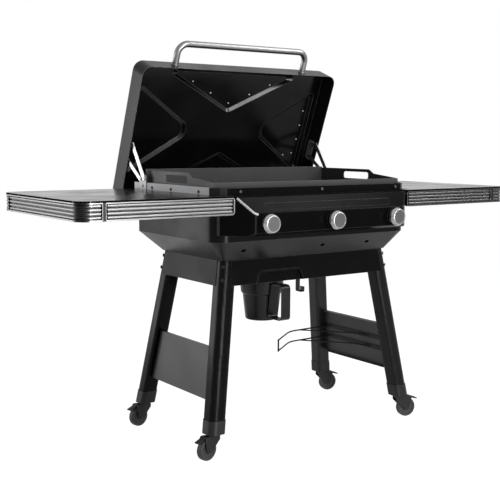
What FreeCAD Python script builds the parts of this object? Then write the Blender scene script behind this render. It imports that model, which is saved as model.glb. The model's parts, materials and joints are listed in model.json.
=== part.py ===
import FreeCAD, Part
import Sketcher
import math
import os
import re

# An outdoor gas griddle station: a cook box with three burners under a lift-off steel
# griddle, a lid on a four-bar hinge, two side shelves, and a splayed four-leg cart on
# casters. Millimetres, +Z up, +X to the user's right, the user stands on the -Y side.
# The origin is on the floor under the middle of the whole station, with the lid open.

doc = FreeCAD.newDocument("GriddleStation")
V = FreeCAD.Vector
X_AXIS = V(1, 0, 0)
Y_AXIS = V(0, 1, 0)
Z_AXIS = V(0, 0, 1)
SIDES = {"left": -1, "right": 1}

# Driving dimensions. Depths marked "from the cart line" are measured along Y from the
# line midway between the front and rear legs, which lies at cart_y.
SIZES = {
    "cart_y": -45,

    "foot_z": 88, "leg_top_z": 672, "leg_width": 60, "leg_wall": 2, "leg_round": 12,
    "leg_outer_round": 24, "leg_foot_x": 437, "leg_foot_y": 240, "leg_head_x": 345,
    "leg_head_y": 174, "cap_height": 46, "cap_wall": 2.2, "cap_floor": 5, "cap_fit": 0.3,

    "apron_height": 87, "apron_wall": 2, "apron_flange": 16, "apron_corner": 34,
    "bolt_out": 4.6,
    "arch_left": -238, "arch_right": -34, "arch_height": 38, "arch_round": 14,
    "arch_lip": 6, "arch_lip_proud": 2,
    "panel_low_z": 190, "panel_height": 180, "panel_wall": 1.5, "panel_flange": 16,
    "panel_inset": 22, "arch_pan": 12,

    "body_width": 882, "body_front": 261, "body_back": 283, "tub_height": 70,
    "body_height": 155, "body_wall": 1.5, "body_round": 55, "body_back_round": 22,
    "tub_half_x": 377, "tub_half_y": 206, "vent_width": 19, "vent_height": 10,
    "vent_rise": 35,

    "rail_height": 29, "rail_wall": 2, "ledge_width": 46, "ledge_wall": 3,
    "rail_front": 218, "rail_back": 298, "band_height": 27, "band_ledge": 18,
    "corner_inset": 23,

    "fascia_front": 343, "fascia_top_front": 300, "fascia_rise": 24,
    "fascia_crest_rise": 77, "fascia_top_drop": 2, "fascia_back_half": 427,
    "fascia_front_half": 341, "fascia_wall": 1.5, "fascia_corner_round": 26,
    "knob_spacing": 288, "knob_rise": 42, "knob_radius": 33.5, "knob_depth": 27,
    "knob_gap": 4, "bezel_radius": 34, "bezel_depth": 3, "stem_radius": 4, "stem_length": 60,
    "manifold_y": 292, "manifold_radius": 11, "manifold_drop": 26, "burner_radius": 16,
    "burner_rise": 40, "burner_back": 215, "venturi_radius": 9,

    "plate_side_gap": 16, "plate_front": 221, "plate_back": 240, "plate_wall": 3,
    "plate_thick": 5, "cook_rise": 15, "trough_width": 40, "trough_drop": 8,
    "front_lip_rise": 29, "side_wall_rise": 59, "shoulder_rise": 43, "backsplash_rise": 63,
    "slot_front": 55, "slot_back": 93, "slot_rise": 20, "slot_height": 27,
    "foot_pad_radius": 11, "foot_pad_inset": 18, "drain_radius": 12,

    "bucket_x": -142, "bucket_y": 110, "bucket_height": 146, "bucket_gap": 3,
    "bucket_top_radius": 81, "bucket_low_radius": 59, "bucket_wall": 1.2,
    "bucket_rim": 7, "bucket_band": 52, "grip_reach": 146, "grip_width": 40,
    "grip_wall": 2.6, "slide_gap": 2, "chute_clearance": 14, "chute_drop": 6,
    "rivet_radius": 4, "rivet_gap": 0.3,

    "guard_high_rise": 114, "guard_low_rise": 71, "guard_bar": 16, "guard_radius": 3,
    "guard_tip_x": 50, "guard_tip_y": 38,

    "shelf_end_x": 956, "shelf_front": 305, "shelf_back": 307, "shelf_drop": 59,
    "trim_height": 58, "shelf_gap": 0.5, "trim_inner_x": 395, "trim_depth": 10,
    "trim_break_x": 871, "trim_gap": 3, "trim_round": 11, "shelf_round": 45,
    "shelf_wall": 1.5, "shelf_cap": 5, "trim_bead": 5, "trim_recess": 5, "rib_count": 4,

    "lid_width": 914, "lid_length": 550, "lid_height": 83, "lid_round": 38,
    "lid_edge_round": 9, "lid_wall": 1.5, "lid_closed_front": 265, "lid_seat_gap": 1,
    "lid_open_front": -191, "lid_open_rise": 422, "lid_open_angle": 69,
    "web_depth": 70, "web_wall": 1.2, "pocket_depth": 9, "pocket_slope": 12,
    "long_pivot_s": 318, "long_pivot_d": 36, "short_pivot_s": 364, "short_pivot_d": 48,
    "long_base_rise": 15, "short_base_rise": 13, "pin_radius": 4, "pin_fit": 0.05,
    "arm_width": 17, "arm_thick": 3, "short_arm_thick": 2.5, "arm_gap": 0.3,
    "bracket_thick": 2.5, "elbow_back": 33,
    "handle_half": 303, "handle_reach": 82, "handle_round": 40, "handle_radius": 12.5,
    "handle_wall": 1.5, "handle_seat_d": 40,

    "wheel_radius": 37.5, "wheel_width": 22, "caster_trail": 32, "fork_wall": 3,
    "fork_gap": 2, "axle_radius": 4, "left_swivel": 190, "right_swivel": -15,
    "collar_height": 6, "bridge_height": 6, "brake_rise": 41.5,
}

# Positions worked out from the driving dimensions.
LAYOUT = {
    "lean_x": "(leg_foot_x - leg_head_x) / (leg_top_z - foot_z)",
    "lean_y": "(leg_foot_y - leg_head_y) / (leg_top_z - foot_z)",
    "apron_low_z": "leg_top_z - apron_height",
    "apron_low_x": "leg_head_x + leg_width / 2 + lean_x * apron_height"
                   " + apron_wall / cos(atan(lean_x))",
    "apron_low_y": "leg_head_y + leg_width / 2 + lean_y * apron_height"
                   " + apron_wall / cos(atan(lean_y))",
    "front_y": "cart_y - body_front",
    "back_y": "cart_y + body_back",
    "body_half": "body_width / 2",
    "panel_high_z": "panel_low_z + panel_height",
    "body_low_z": "leg_top_z + tub_height",
    "body_high_z": "body_low_z + body_height",
    "rail_high_z": "body_high_z + rail_height",
    "band_high_z": "body_high_z + band_height",
    "corner_x": "body_half - corner_inset",
    "fascia_low_z": "body_low_z + fascia_rise",
    "fascia_crest_z": "fascia_low_z + fascia_crest_rise",
    "fascia_top_z": "body_high_z - fascia_top_drop",
    "knob_z": "fascia_low_z + knob_rise",
    "manifold_z": "knob_z - manifold_drop",
    "burner_z": "knob_z + burner_rise",
    "plate_half": "body_half - plate_side_gap",
    "cook_z": "body_high_z + cook_rise",
    "front_lip_z": "cook_z + front_lip_rise",
    "side_wall_z": "cook_z + side_wall_rise",
    "shoulder_z": "cook_z + shoulder_rise",
    "backsplash_z": "cook_z + backsplash_rise",
    "slot_low_z": "cook_z + slot_rise",
    "slot_high_z": "slot_low_z + slot_height",
    "bucket_high_z": "apron_low_z - bucket_gap",
    "bucket_low_z": "bucket_high_z - bucket_height",
    "chute_low_z": "bucket_high_z + chute_clearance",
    "chute_high_z": "trough_low_z - chute_drop",
    "chute_low_y": "cart_y - bucket_y",
    "chute_high_y": "plate_front_y + plate_wall + trough_width / 2",
    "drain_y": "chute_low_y + (chute_high_y - chute_low_y) * (leg_top_z - chute_low_z)"
               " / (chute_high_z - chute_low_z)",
    "guard_high_z": "panel_low_z + guard_high_rise",
    "guard_low_z": "panel_low_z + guard_low_rise",
    "shelf_low_z": "body_high_z - shelf_drop",
    "shelf_high_z": "shelf_low_z + trim_height",
    "shelf_top_z": "shelf_high_z + shelf_cap",
    "lid_closed_z": "rail_high_z + lid_seat_gap",
    "lid_open_z": "lid_closed_z + lid_open_rise",
    "long_base_z": "lid_closed_z + long_base_rise",
    "short_base_z": "lid_closed_z + short_base_rise",
    "plate_front_y": "cart_y - plate_front",
    "plate_back_y": "cart_y + plate_back",
    "ledge_top_z": "body_high_z + ledge_wall",
    "trough_low_z": "cook_z - trough_drop - plate_wall",
    "fascia_face_y": "cart_y - fascia_front",
    "lid_closed_y": "cart_y - lid_closed_front",
    "lid_open_y": "cart_y - lid_open_front",
    "long_lid_y": "lid_open_y + long_pivot_s * cos(lid_open_angle) + long_pivot_d * sin(lid_open_angle)",
    "long_lid_z": "lid_open_z - long_pivot_s * sin(lid_open_angle) + long_pivot_d * cos(lid_open_angle)",
    "short_lid_y": "lid_open_y + short_pivot_s * cos(lid_open_angle) + short_pivot_d * sin(lid_open_angle)",
    "short_lid_z": "lid_open_z - short_pivot_s * sin(lid_open_angle) + short_pivot_d * cos(lid_open_angle)",
    "long_shut_y": "lid_closed_y + long_pivot_s",
    "long_shut_z": "lid_closed_z + long_pivot_d",
    "short_shut_y": "lid_closed_y + short_pivot_s",
    "short_shut_z": "lid_closed_z + short_pivot_d",
    "long_base_y": "(long_lid_y + long_shut_y) / 2 - (long_base_z - (long_lid_z + long_shut_z) / 2)"
                   " * (long_lid_z - long_shut_z) / (long_lid_y - long_shut_y)",
    "short_base_y": "(short_lid_y + short_shut_y) / 2 - (short_base_z - (short_lid_z + short_shut_z) / 2)"
                    " * (short_lid_z - short_shut_z) / (short_lid_y - short_shut_y)",
    "fork_high_z": "foot_z - collar_height",
    "fork_low_z": "fork_high_z - bridge_height",
    "brake_z": "wheel_radius + brake_rise",
    "bracket_x": "body_half",
    "shelf_inner_x": "bracket_x + bracket_thick + shelf_gap",
    "long_arm_x": "bracket_x + bracket_thick + arm_gap",
    "short_arm_x": "long_arm_x + arm_thick + arm_gap",
    "lid_plate_x": "short_arm_x + short_arm_thick + arm_gap",
    "lid_inner_x": "lid_width / 2 - lid_wall",
    "trim_front_y": "cart_y - shelf_front",
    "trim_back_y": "cart_y + shelf_back",
}

sizes = doc.addObject("Spreadsheet::Sheet", "Sizes")
for row, (alias, value) in enumerate(SIZES.items(), start=1):
    sizes.set(f"A{row}", alias)
    sizes.set(f"B{row}", str(value))
    sizes.setAlias(f"B{row}", alias)

NAMES = re.compile(r"[a-z][a-z_]*")


def full(text):
    """An expression with each size or position named in it tied to its sheet."""
    def tie(word):
        name = word.group(0)
        if name in SIZES:
            return f"Sizes.{name}"
        if name in LAYOUT:
            return f"Layout.{name}"
        return name
    return NAMES.sub(tie, text)


layout = doc.addObject("Spreadsheet::Sheet", "Layout")
for row, (alias, formula) in enumerate(LAYOUT.items(), start=1):
    layout.set(f"A{row}", alias)
    layout.set(f"B{row}", "=" + full(formula).replace("Layout.", ""))
    layout.setAlias(f"B{row}", alias)
doc.recompute()

meter = doc.addObject("App::FeaturePython", "Meter")
meter.addProperty("App::PropertyFloat", "Reading")


def number(text):
    """The value of an expression now."""
    meter.setExpression("Reading", full(text))
    meter.recompute()
    return meter.Reading


def bind(thing, prop, text):
    thing.setExpression(prop, full(text))


def place(thing, x="0", y="0", z="0", axis=None, angle=None):
    """Tie a thing's place, and its turn about one axis, to the sheets."""
    if axis is not None:
        thing.Placement = FreeCAD.Placement(V(), FreeCAD.Rotation(axis, 1))
        bind(thing, "Placement.Rotation.Angle", angle)
    bind(thing, "Placement.Base.x", x)
    bind(thing, "Placement.Base.y", y)
    bind(thing, "Placement.Base.z", z)
    return thing


def box(name, xs, ys, zs):
    """A block between two expressions along each axis."""
    block = doc.addObject("Part::Box", name)
    for prop, (low, high) in zip(("Length", "Width", "Height"), (xs, ys, zs)):
        bind(block, prop, f"({high}) - ({low})")
    return place(block, xs[0], ys[0], zs[0])


def rod(name, axis, radius, start, length):
    """A round bar from start, along +X, +Y or +Z."""
    bar = doc.addObject("Part::Cylinder", name)
    bind(bar, "Radius", radius)
    bind(bar, "Height", length)
    if axis == X_AXIS:
        bar.Placement = FreeCAD.Placement(V(), FreeCAD.Rotation(Y_AXIS, 90))
    elif axis == Y_AXIS:
        bar.Placement = FreeCAD.Placement(V(), FreeCAD.Rotation(X_AXIS, -90))
    return place(bar, *start)


def cut(name, base, tool):
    result = doc.addObject("Part::Cut", name)
    result.Base = base
    result.Tool = tool
    return result


def fuse(name, shapes):
    result = doc.addObject("Part::MultiFuse", name)
    result.Shapes = shapes
    return result


def group(name, shapes):
    """Separate solids that share one node."""
    result = doc.addObject("Part::Compound", name)
    result.Links = shapes
    return result


def new_body(name):
    return doc.addObject("PartDesign::Body", name)


def origin_plane(body, role):
    return [item for item in body.Origin.OriginFeatures if item.Role == role][0]


def rounded_corner(before, corner, after, radius):
    """Where a corner's arc starts and ends, its centre and its two angles."""
    into = (before - corner).normalize()
    out = (after - corner).normalize()
    half = into.getAngle(out) / 2
    reach = radius / math.tan(half)
    start = corner + into * reach
    end = corner + out * reach
    centre = corner + (into + out).normalize() * (radius / math.sin(half))
    return start, end, centre


def add_loop(sketch, corners):
    """A closed outline: each corner is (x, y) or (x, y, radius), all expressions."""
    points = [V(number(c[0]), number(c[1]), 0) for c in corners]
    radii = [number(c[2]) if len(c) > 2 else 0 for c in corners]
    count = len(corners)
    starts, ends, arcs = [], [], []
    for i in range(count):
        if radii[i] == 0:
            starts.append(points[i])
            ends.append(points[i])
            arcs.append(None)
            continue
        first, last, centre = rounded_corner(points[i - 1], points[i],
                                             points[(i + 1) % count], radii[i])
        ends.append(first)
        starts.append(last)
        turn = (points[i] - points[i - 1]).cross(points[(i + 1) % count] - points[i]).z
        circle = Part.Circle(centre, Z_AXIS, radii[i])
        angle_first = math.atan2(first.y - centre.y, first.x - centre.x)
        angle_last = math.atan2(last.y - centre.y, last.x - centre.x)
        if turn > 0:
            if angle_last < angle_first:
                angle_last += 2 * math.pi
            arc = Part.ArcOfCircle(circle, angle_first, angle_last)
        else:
            if angle_first < angle_last:
                angle_first += 2 * math.pi
            arc = Part.ArcOfCircle(circle, angle_last, angle_first)
        arcs.append((arc, turn > 0))
    lines = [sketch.addGeometry(Part.LineSegment(starts[i], ends[(i + 1) % count]))
             for i in range(count)]
    for i in range(count):
        line_in, line_out = lines[i - 1], lines[i]
        if arcs[i] is None:
            sketch.addConstraint(Sketcher.Constraint("Coincident", line_in, 2, line_out, 1))
            pin_point(sketch, line_out, 1, corners[i], points[i])
            continue
        arc, forward = arcs[i]
        curve = sketch.addGeometry(arc)
        near, far = (1, 2) if forward else (2, 1)
        sketch.addConstraint(Sketcher.Constraint("Tangent", line_in, 2, curve, near))
        sketch.addConstraint(Sketcher.Constraint("Tangent", line_out, 1, curve, far))
        radius = sketch.addConstraint(Sketcher.Constraint("Radius", curve, radii[i]))
        bind(sketch, f"Constraints[{radius}]", corners[i][2])
        mark = sketch.addGeometry(Part.Point(points[i]), True)
        sketch.addConstraint(Sketcher.Constraint("PointOnObject", mark, 1, line_in))
        sketch.addConstraint(Sketcher.Constraint("PointOnObject", mark, 1, line_out))
        pin_point(sketch, mark, 1, corners[i], points[i])


def pin_point(sketch, piece, end, corner, point):
    """Tie one point of a sketch to the sheets, from the sketch's origin."""
    for kind, text, value, line in (("DistanceX", corner[0], point.x, -2),
                                    ("DistanceY", corner[1], point.y, -1)):
        if text == "0":
            sketch.addConstraint(Sketcher.Constraint("PointOnObject", piece, end, line))
            continue
        index = sketch.addConstraint(Sketcher.Constraint(kind, -1, 1, piece, end, value))
        bind(sketch, f"Constraints[{index}]", text)


def add_circle(sketch, x, y, radius):
    centre = V(number(x), number(y), 0)
    ring = sketch.addGeometry(Part.Circle(centre, Z_AXIS, number(radius)))
    pin_point(sketch, ring, 3, (x, y), centre)
    index = sketch.addConstraint(Sketcher.Constraint("Radius", ring, number(radius)))
    bind(sketch, f"Constraints[{index}]", radius)


def new_sketch(body, plane, offset="0", loops=(), circles=()):
    """A sketch on one of the body's own origin planes, moved along its normal."""
    sketch = body.newObject("Sketcher::SketchObject", body.Name + "Sketch")
    sketch.AttachmentSupport = [(origin_plane(body, plane), "")]
    sketch.MapMode = "FlatFace"
    bind(sketch, "AttachmentOffset.Base.z", offset)
    for corners in loops:
        add_loop(sketch, corners)
    for circle in circles:
        add_circle(sketch, *circle)
    return sketch


def rectangle(x_low, x_high, y_low, y_high, radius=None):
    corners = [(x_low, y_low), (x_high, y_low), (x_high, y_high), (x_low, y_high)]
    if radius is None:
        return corners
    return [corner + (radius,) for corner in corners]


def pad(body, sketch, length, middle=False, reverse=False, lean=None):
    """Raise a sketch; lean gives the sideways run for each unit of height."""
    feature = body.newObject("PartDesign::Pad", body.Name + "Pad")
    feature.Profile = sketch
    bind(feature, "Length", length)
    feature.Midplane = middle
    feature.Reversed = reverse
    if lean is not None:
        feature.UseCustomVector = True
        feature.AlongSketchNormal = True
        feature.Direction = V(number(lean[0]), number(lean[1]), 1)
        bind(feature, "Direction.x", lean[0])
        bind(feature, "Direction.y", lean[1])
    return feature


def pocket(body, sketch, depth):
    """Cut half the depth to each side of the sketch."""
    feature = body.newObject("PartDesign::Pocket", body.Name + "Pocket")
    feature.Profile = sketch
    bind(feature, "Length", depth)
    feature.Midplane = True
    doc.recompute()
    return feature


def revolve(body, sketch):
    feature = body.newObject("PartDesign::Revolution", body.Name + "Turned")
    feature.Profile = sketch
    feature.ReferenceAxis = (sketch, ["V_Axis"])
    feature.Angle = 360
    return feature


def fillet(body, base, radius, wanted):
    """Round the base's edges that the wanted test picks."""
    doc.recompute()
    names = [f"Edge{i + 1}" for i, edge in enumerate(base.Shape.Edges) if wanted(edge)]
    feature = body.newObject("PartDesign::Fillet", body.Name + "Round")
    feature.Base = (base, names)
    bind(feature, "Radius", radius)
    doc.recompute()
    return feature


def hollow(body, base, wall, opened):
    """Turn a solid into a shell of one wall, open at the faces that the test picks."""
    doc.recompute()
    names = [f"Face{i + 1}" for i, face in enumerate(base.Shape.Faces) if opened(face)]
    feature = body.newObject("PartDesign::Thickness", body.Name + "Shell")
    feature.Base = (base, names)
    bind(feature, "Value", wall)
    feature.Reversed = True
    feature.Join = 0
    doc.recompute()
    return feature


def runs_along(edge, axis):
    """Whether a straight edge lies along an axis."""
    if edge.Curve.TypeId != "Part::GeomLine":
        return False
    return abs(edge.Curve.Direction.dot(axis)) > 0.999


def faces(face, direction):
    """Whether a flat face looks in a direction."""
    if face.Surface.TypeId != "Part::GeomPlane":
        return False
    return face.normalAt(0, 0).dot(direction) > 0.99


def mirrored(sign, low, high):
    """An interval along X on the right, or its mirror image on the left."""
    if sign > 0:
        return low, high
    return f"0 - ({high})", f"0 - ({low})"


parts = {}


def keep(name, thing):
    thing.Label = name
    parts[name] = thing
    return thing


# Cart: legs, caps, aprons, side panels

def leg_section(x_sign, y_sign, z, grow):
    """The leg's rounded square at a height, grown outwards by an expression."""
    half = f"(leg_width / 2 + {grow})"
    x = f"{x_sign} * (leg_foot_x - lean_x * ({z} - foot_z))"
    y = f"(cart_y + {y_sign} * (leg_foot_y - lean_y * ({z} - foot_z)))"
    corners = []
    for a, b in ((-1, -1), (1, -1), (1, 1), (-1, 1)):
        outer = a == x_sign and b == y_sign
        radius = f"leg_outer_round + {grow}" if outer else f"leg_round + {grow}"
        corners.append((f"{x} + {a} * {half}", f"{y} + {b} * {half}", radius))
    return corners


def lean_of(x_sign, y_sign):
    return f"{-x_sign} * lean_x", f"{-y_sign} * lean_y"


def bolt_spot(x_sign, y_sign, z):
    """The middle of the leg's outer corner, at a height."""
    inset = "leg_width / 2 - leg_outer_round * (1 - sqrt(0.5))"
    x = f"{x_sign} * (leg_foot_x - lean_x * ({z} - foot_z) + {inset})"
    y = f"cart_y + {y_sign} * (leg_foot_y - lean_y * ({z} - foot_z) + {inset})"
    return x, y, z


BOLT_HEIGHTS = ("leg_top_z - 20", "leg_top_z - 65")


def make_leg(name, x_sign, y_sign):
    body = new_body(name + "_tube")
    base = "foot_z + cap_floor"
    section = new_sketch(body, "XY_Plane", base,
                         [leg_section(x_sign, y_sign, base, "0"),
                          leg_section(x_sign, y_sign, base, "(0 - leg_wall)")])
    pad(body, section, f"leg_top_z - ({base})", lean=lean_of(x_sign, y_sign))
    holes = [diagonal_rod(f"{name}_hole_{i}", x_sign, y_sign, z, "3.1", "12", "20")
             for i, z in enumerate(BOLT_HEIGHTS)]
    keep(name, cut(name, body, fuse(name + "_holes", holes)))


def diagonal_rod(name, x_sign, y_sign, z, radius, out, inward):
    """A bar through a leg's outer corner, reaching out and inward from its face."""
    turn = math.degrees(math.atan2(y_sign, x_sign))
    bar = doc.addObject("Part::Cylinder", name)
    bind(bar, "Radius", radius)
    bind(bar, "Height", f"{out} + {inward}")
    level = FreeCAD.Rotation(Z_AXIS, turn).multiply(FreeCAD.Rotation(Y_AXIS, 90))
    bar.Placement = FreeCAD.Placement(V(), level)
    x, y, z = bolt_spot(x_sign, y_sign, z)
    return place(bar, f"{x} - {x_sign} * ({inward}) * sqrt(0.5)",
                 f"{y} - {y_sign} * ({inward}) * sqrt(0.5)", z)


def make_cap(name, x_sign, y_sign):
    body = new_body(name)
    lean = lean_of(x_sign, y_sign)
    floor = new_sketch(body, "XY_Plane", "foot_z",
                       [leg_section(x_sign, y_sign, "foot_z", "cap_wall")],
                       [(f"{x_sign} * leg_foot_x", f"cart_y + {y_sign} * leg_foot_y", "7.2")])
    pad(body, floor, "cap_floor", lean=lean)
    top = "foot_z + cap_floor"
    sleeve = new_sketch(body, "XY_Plane", top,
                        [leg_section(x_sign, y_sign, top, "cap_wall"),
                         leg_section(x_sign, y_sign, top, "cap_fit")])
    pad(body, sleeve, "cap_height - cap_floor", lean=lean)
    return body


INWARD = {"front": 1, "rear": -1, "left": 1, "right": -1}


def leaning_plate(name, side, low_half, high_half, height, wall, flange, flange_half):
    """An upright flanged plate, its outer face at zero, before it is leaned."""
    inward = INWARD[side]
    across = side in ("front", "rear")
    body = new_body(name + "_plate")
    outline = [(f"0 - ({low_half})", "0"), (low_half, "0"),
               (high_half, height), (f"0 - ({high_half})", height)]
    plate = new_sketch(body, "XZ_Plane" if across else "YZ_Plane", "0", [outline])
    pad(body, plate, wall, reverse=side in ("front", "right"))
    depth = ("0", flange) if inward > 0 else (f"0 - ({flange})", "0")
    length = (f"0 - ({flange_half})", flange_half)
    strips = []
    for level, low in (("low", "0"), ("high", f"{height} - {wall}")):
        xs, ys = (length, depth) if across else (depth, length)
        strips.append(box(f"{name}_{level}", xs, ys, (low, f"{low} + {wall}")))
    return fuse(name + "_upright", [body] + strips)


def lean_place(thing, side, out_x, out_y, z):
    """Lean a plate with the legs and stand it on its lower outer edge."""
    if side == "front":
        return place(thing, "0", f"cart_y - ({out_y})", z, X_AXIS, "-1 * atan(lean_y)")
    if side == "rear":
        return place(thing, "0", f"cart_y + ({out_y})", z, X_AXIS, "atan(lean_y)")
    if side == "left":
        return place(thing, f"0 - ({out_x})", "cart_y", z, Y_AXIS, "atan(lean_x)")
    return place(thing, out_x, "cart_y", z, Y_AXIS, "-1 * atan(lean_x)")


LEGS = {"front_left": (-1, -1), "front_right": (1, -1),
        "rear_left": (-1, 1), "rear_right": (1, 1)}
for corner, signs in LEGS.items():
    make_leg("leg_" + corner, *signs)
keep("foot_caps", group("foot_caps", [make_cap("cap_" + corner, *signs)
                                      for corner, signs in LEGS.items()]))


def make_socket(corner, x_sign, y_sign):
    """The plug under the tub that a leg slips over, with its nut holes."""
    body = new_body("socket_" + corner)
    base = "leg_top_z - 84"
    section = new_sketch(body, "XY_Plane", base,
                         [leg_section(x_sign, y_sign, base, "(0 - leg_wall)"),
                          leg_section(x_sign, y_sign, base, "(0 - leg_wall - 3)")])
    pad(body, section, "84", lean=lean_of(x_sign, y_sign))
    holes = [diagonal_rod(f"socket_hole_{corner}_{i}", x_sign, y_sign, z, "2.6", "12", "20")
             for i, z in enumerate(BOLT_HEIGHTS)]
    return cut("socket_cut_" + corner, body, fuse("socket_holes_" + corner, holes))


keep("leg_sockets", group("leg_sockets", [make_socket(corner, *signs)
                                          for corner, signs in LEGS.items()]))

bolts = []
for corner, signs in LEGS.items():
    for i, z in enumerate(BOLT_HEIGHTS):
        head = diagonal_rod(f"bolt_head_{corner}_{i}", *signs, z, "6.5", "bolt_out", "0 - 1.5")
        shank = diagonal_rod(f"bolt_shank_{corner}_{i}", *signs, z, "2.6", "2", "16")
        bolts.append(fuse(f"bolt_{corner}_{i}", [head, shank]))
keep("leg_bolts", group("leg_bolts", bolts))

APRON_RISE_Y = "apron_height / cos(atan(lean_y))"
APRON_RISE_X = "apron_height / cos(atan(lean_x))"
half_x = "leg_head_x + leg_width / 2 - apron_corner"
half_y = "leg_head_y + leg_width / 2 - apron_corner"
inner_x = "leg_head_x - leg_width / 2 - 1"
inner_y = "leg_head_y - leg_width / 2 - 1"

front = leaning_plate("front_apron", "front", f"{half_x} + lean_x * apron_height", half_x,
                      APRON_RISE_Y, "apron_wall", "apron_flange", inner_x)


def arch_outline(grow):
    return [(f"arch_left - {grow}", "0 - 5"), (f"arch_right + {grow}", "0 - 5"),
            (f"arch_right - 14 + {grow}", f"arch_height + {grow}", f"arch_round + {grow}"),
            (f"arch_left + 14 - {grow}", f"arch_height + {grow}", f"arch_round + {grow}")]


lip_body = new_body("arch_lip")
pad(lip_body, new_sketch(lip_body, "XZ_Plane", "0", [arch_outline("arch_lip"),
                                                     arch_outline("0")]), "arch_lip_proud")
pan_body = new_body("arch_pan")
pad(pan_body, new_sketch(pan_body, "XZ_Plane", "0 - arch_pan - apron_wall",
                         [arch_outline("apron_wall")]), "arch_pan + apron_wall")
lip_trim = box("arch_lip_trim", ("arch_left - 20", "arch_right + 20"),
               ("0 - 10", "arch_pan + apron_wall + 5"), ("0 - 20", "0"))
arch_body = new_body("arch_recess")
pad(arch_body, new_sketch(arch_body, "XZ_Plane", "0 - arch_pan", [arch_outline("0")]),
    "arch_pan + 20")
front = cut("front_apron_cut", cut("front_apron_trim",
            fuse("front_apron_lip", [front, lip_body, pan_body]), lip_trim), arch_body)
keep("front_apron", lean_place(front, "front", "apron_low_x", "apron_low_y", "apron_low_z"))

rear = leaning_plate("rear_apron", "rear", f"{half_x} + lean_x * apron_height", half_x,
                     APRON_RISE_Y, "apron_wall", "apron_flange", inner_x)
aprons = [lean_place(rear, "rear", "apron_low_x", "apron_low_y", "apron_low_z")]
for side in SIDES:
    plate = leaning_plate("apron_" + side, side, f"{half_y} + lean_y * apron_height", half_y,
                          APRON_RISE_X, "apron_wall", "apron_flange", inner_y)
    aprons.append(lean_place(plate, side, "apron_low_x", "apron_low_y", "apron_low_z"))
keep("side_rear_aprons", group("side_rear_aprons", aprons))

PANEL_RISE = "(panel_high_z - panel_low_z) / cos(atan(lean_x))"


def leg_inner_y(z):
    return f"leg_foot_y - lean_y * ({z} - foot_z) - leg_width / 2"


panel_x = "leg_foot_x - lean_x * (panel_low_z - foot_z) + leg_width / 2 - panel_inset"
cart_panels = []
for side in SIDES:
    plate = leaning_plate("cart_panel_" + side, side, leg_inner_y("panel_low_z"),
                          leg_inner_y("panel_high_z"), PANEL_RISE, "panel_wall",
                          "panel_flange", leg_inner_y("panel_high_z") + " - 1")
    cart_panels.append(lean_place(plate, side, panel_x, "0", "panel_low_z"))
keep("cart_panels", group("cart_panels", cart_panels))


# Cook box: lower tub, shell, rails

def rounded_plan(half_wide, front_y, back_y, front_round, back_round):
    return [(f"0 - ({half_wide})", front_y, front_round), (half_wide, front_y, front_round),
            (half_wide, back_y, back_round), (f"0 - ({half_wide})", back_y, back_round)]


def body_plan(shrink):
    """The shell's plan, drawn in by a wall."""
    return rounded_plan(f"body_half - {shrink}", f"front_y + {shrink}", f"back_y - {shrink}",
                        f"body_round - {shrink}", f"body_back_round - {shrink}")


def tub_foot_plan(shrink):
    return rounded_plan(f"tub_half_x - {shrink}", f"cart_y - tub_half_y + {shrink}",
                        f"cart_y + tub_half_y - {shrink}", f"12 - {shrink}", f"12 - {shrink}")


def loft(name, low, low_z, high, high_z):
    body = new_body(name)
    feature = body.newObject("PartDesign::AdditiveLoft", name + "Loft")
    feature.Profile = new_sketch(body, "XY_Plane", low_z, [low])
    feature.Sections = [new_sketch(body, "XY_Plane", high_z, [high])]
    feature.Ruled = True
    return body


tub_outer = loft("tub_outer", tub_foot_plan("0"), "leg_top_z", body_plan("0"), "body_low_z")
tub_inner = loft("tub_inner", tub_foot_plan("body_wall"), "leg_top_z + 2",
                 body_plan("body_wall"), "body_low_z")
openings = [rod("tub_drain", Z_AXIS, "50", ("bucket_x", "drain_y", "leg_top_z - 5"), "12")]
for i, x in enumerate(("0 - 310", "42", "258")):
    vent = new_body(f"tub_vent_{i}")
    slot = rectangle(f"{x} - vent_width / 2", f"{x} + vent_width / 2",
                     "leg_top_z + vent_rise - vent_height / 2",
                     "leg_top_z + vent_rise + vent_height / 2", "vent_height / 2 - 0.1")
    pad(vent, new_sketch(vent, "XZ_Plane", "0 - front_y - 40", [slot]), "60")
    openings.append(vent)
keep("lower_tub", cut("lower_tub", cut("tub_hollow", tub_outer, tub_inner),
                      fuse("tub_openings", openings)))

shell = new_body("shell_wall")
pad(shell, new_sketch(shell, "XY_Plane", "body_low_z",
                      [body_plan("0"), body_plan("body_wall")]), "body_high_z - body_low_z")
burner_holes = [rod(f"burner_hole_{i}", Y_AXIS, "venturi_radius",
                    (f"{i} * knob_spacing", "front_y - 2", "burner_z"), "8")
                for i in (-1, 0, 1)]
keep("body_shell", cut("body_shell", shell, fuse("burner_holes", burner_holes)))

side_rails = []
for side, sign in SIDES.items():
    low, high = ("body_half - rail_wall", "body_half")
    ledge = ("body_half - ledge_width", "body_half")
    if sign < 0:
        low, high = "0 - body_half", "rail_wall - body_half"
        ledge = ("0 - body_half", "ledge_width - body_half")
    upright = box("rail_upright_" + side, (low, high), ("cart_y - rail_front", "cart_y + rail_back"),
                  ("body_high_z", "rail_high_z"))
    shelf = box("rail_ledge_" + side, ledge, ("cart_y - 200", "back_y - 24"),
                ("body_high_z", "ledge_top_z"))
    side_rails.append(fuse("rail_" + side, [upright, shelf]))
keep("side_rails", group("side_rails", side_rails))

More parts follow.
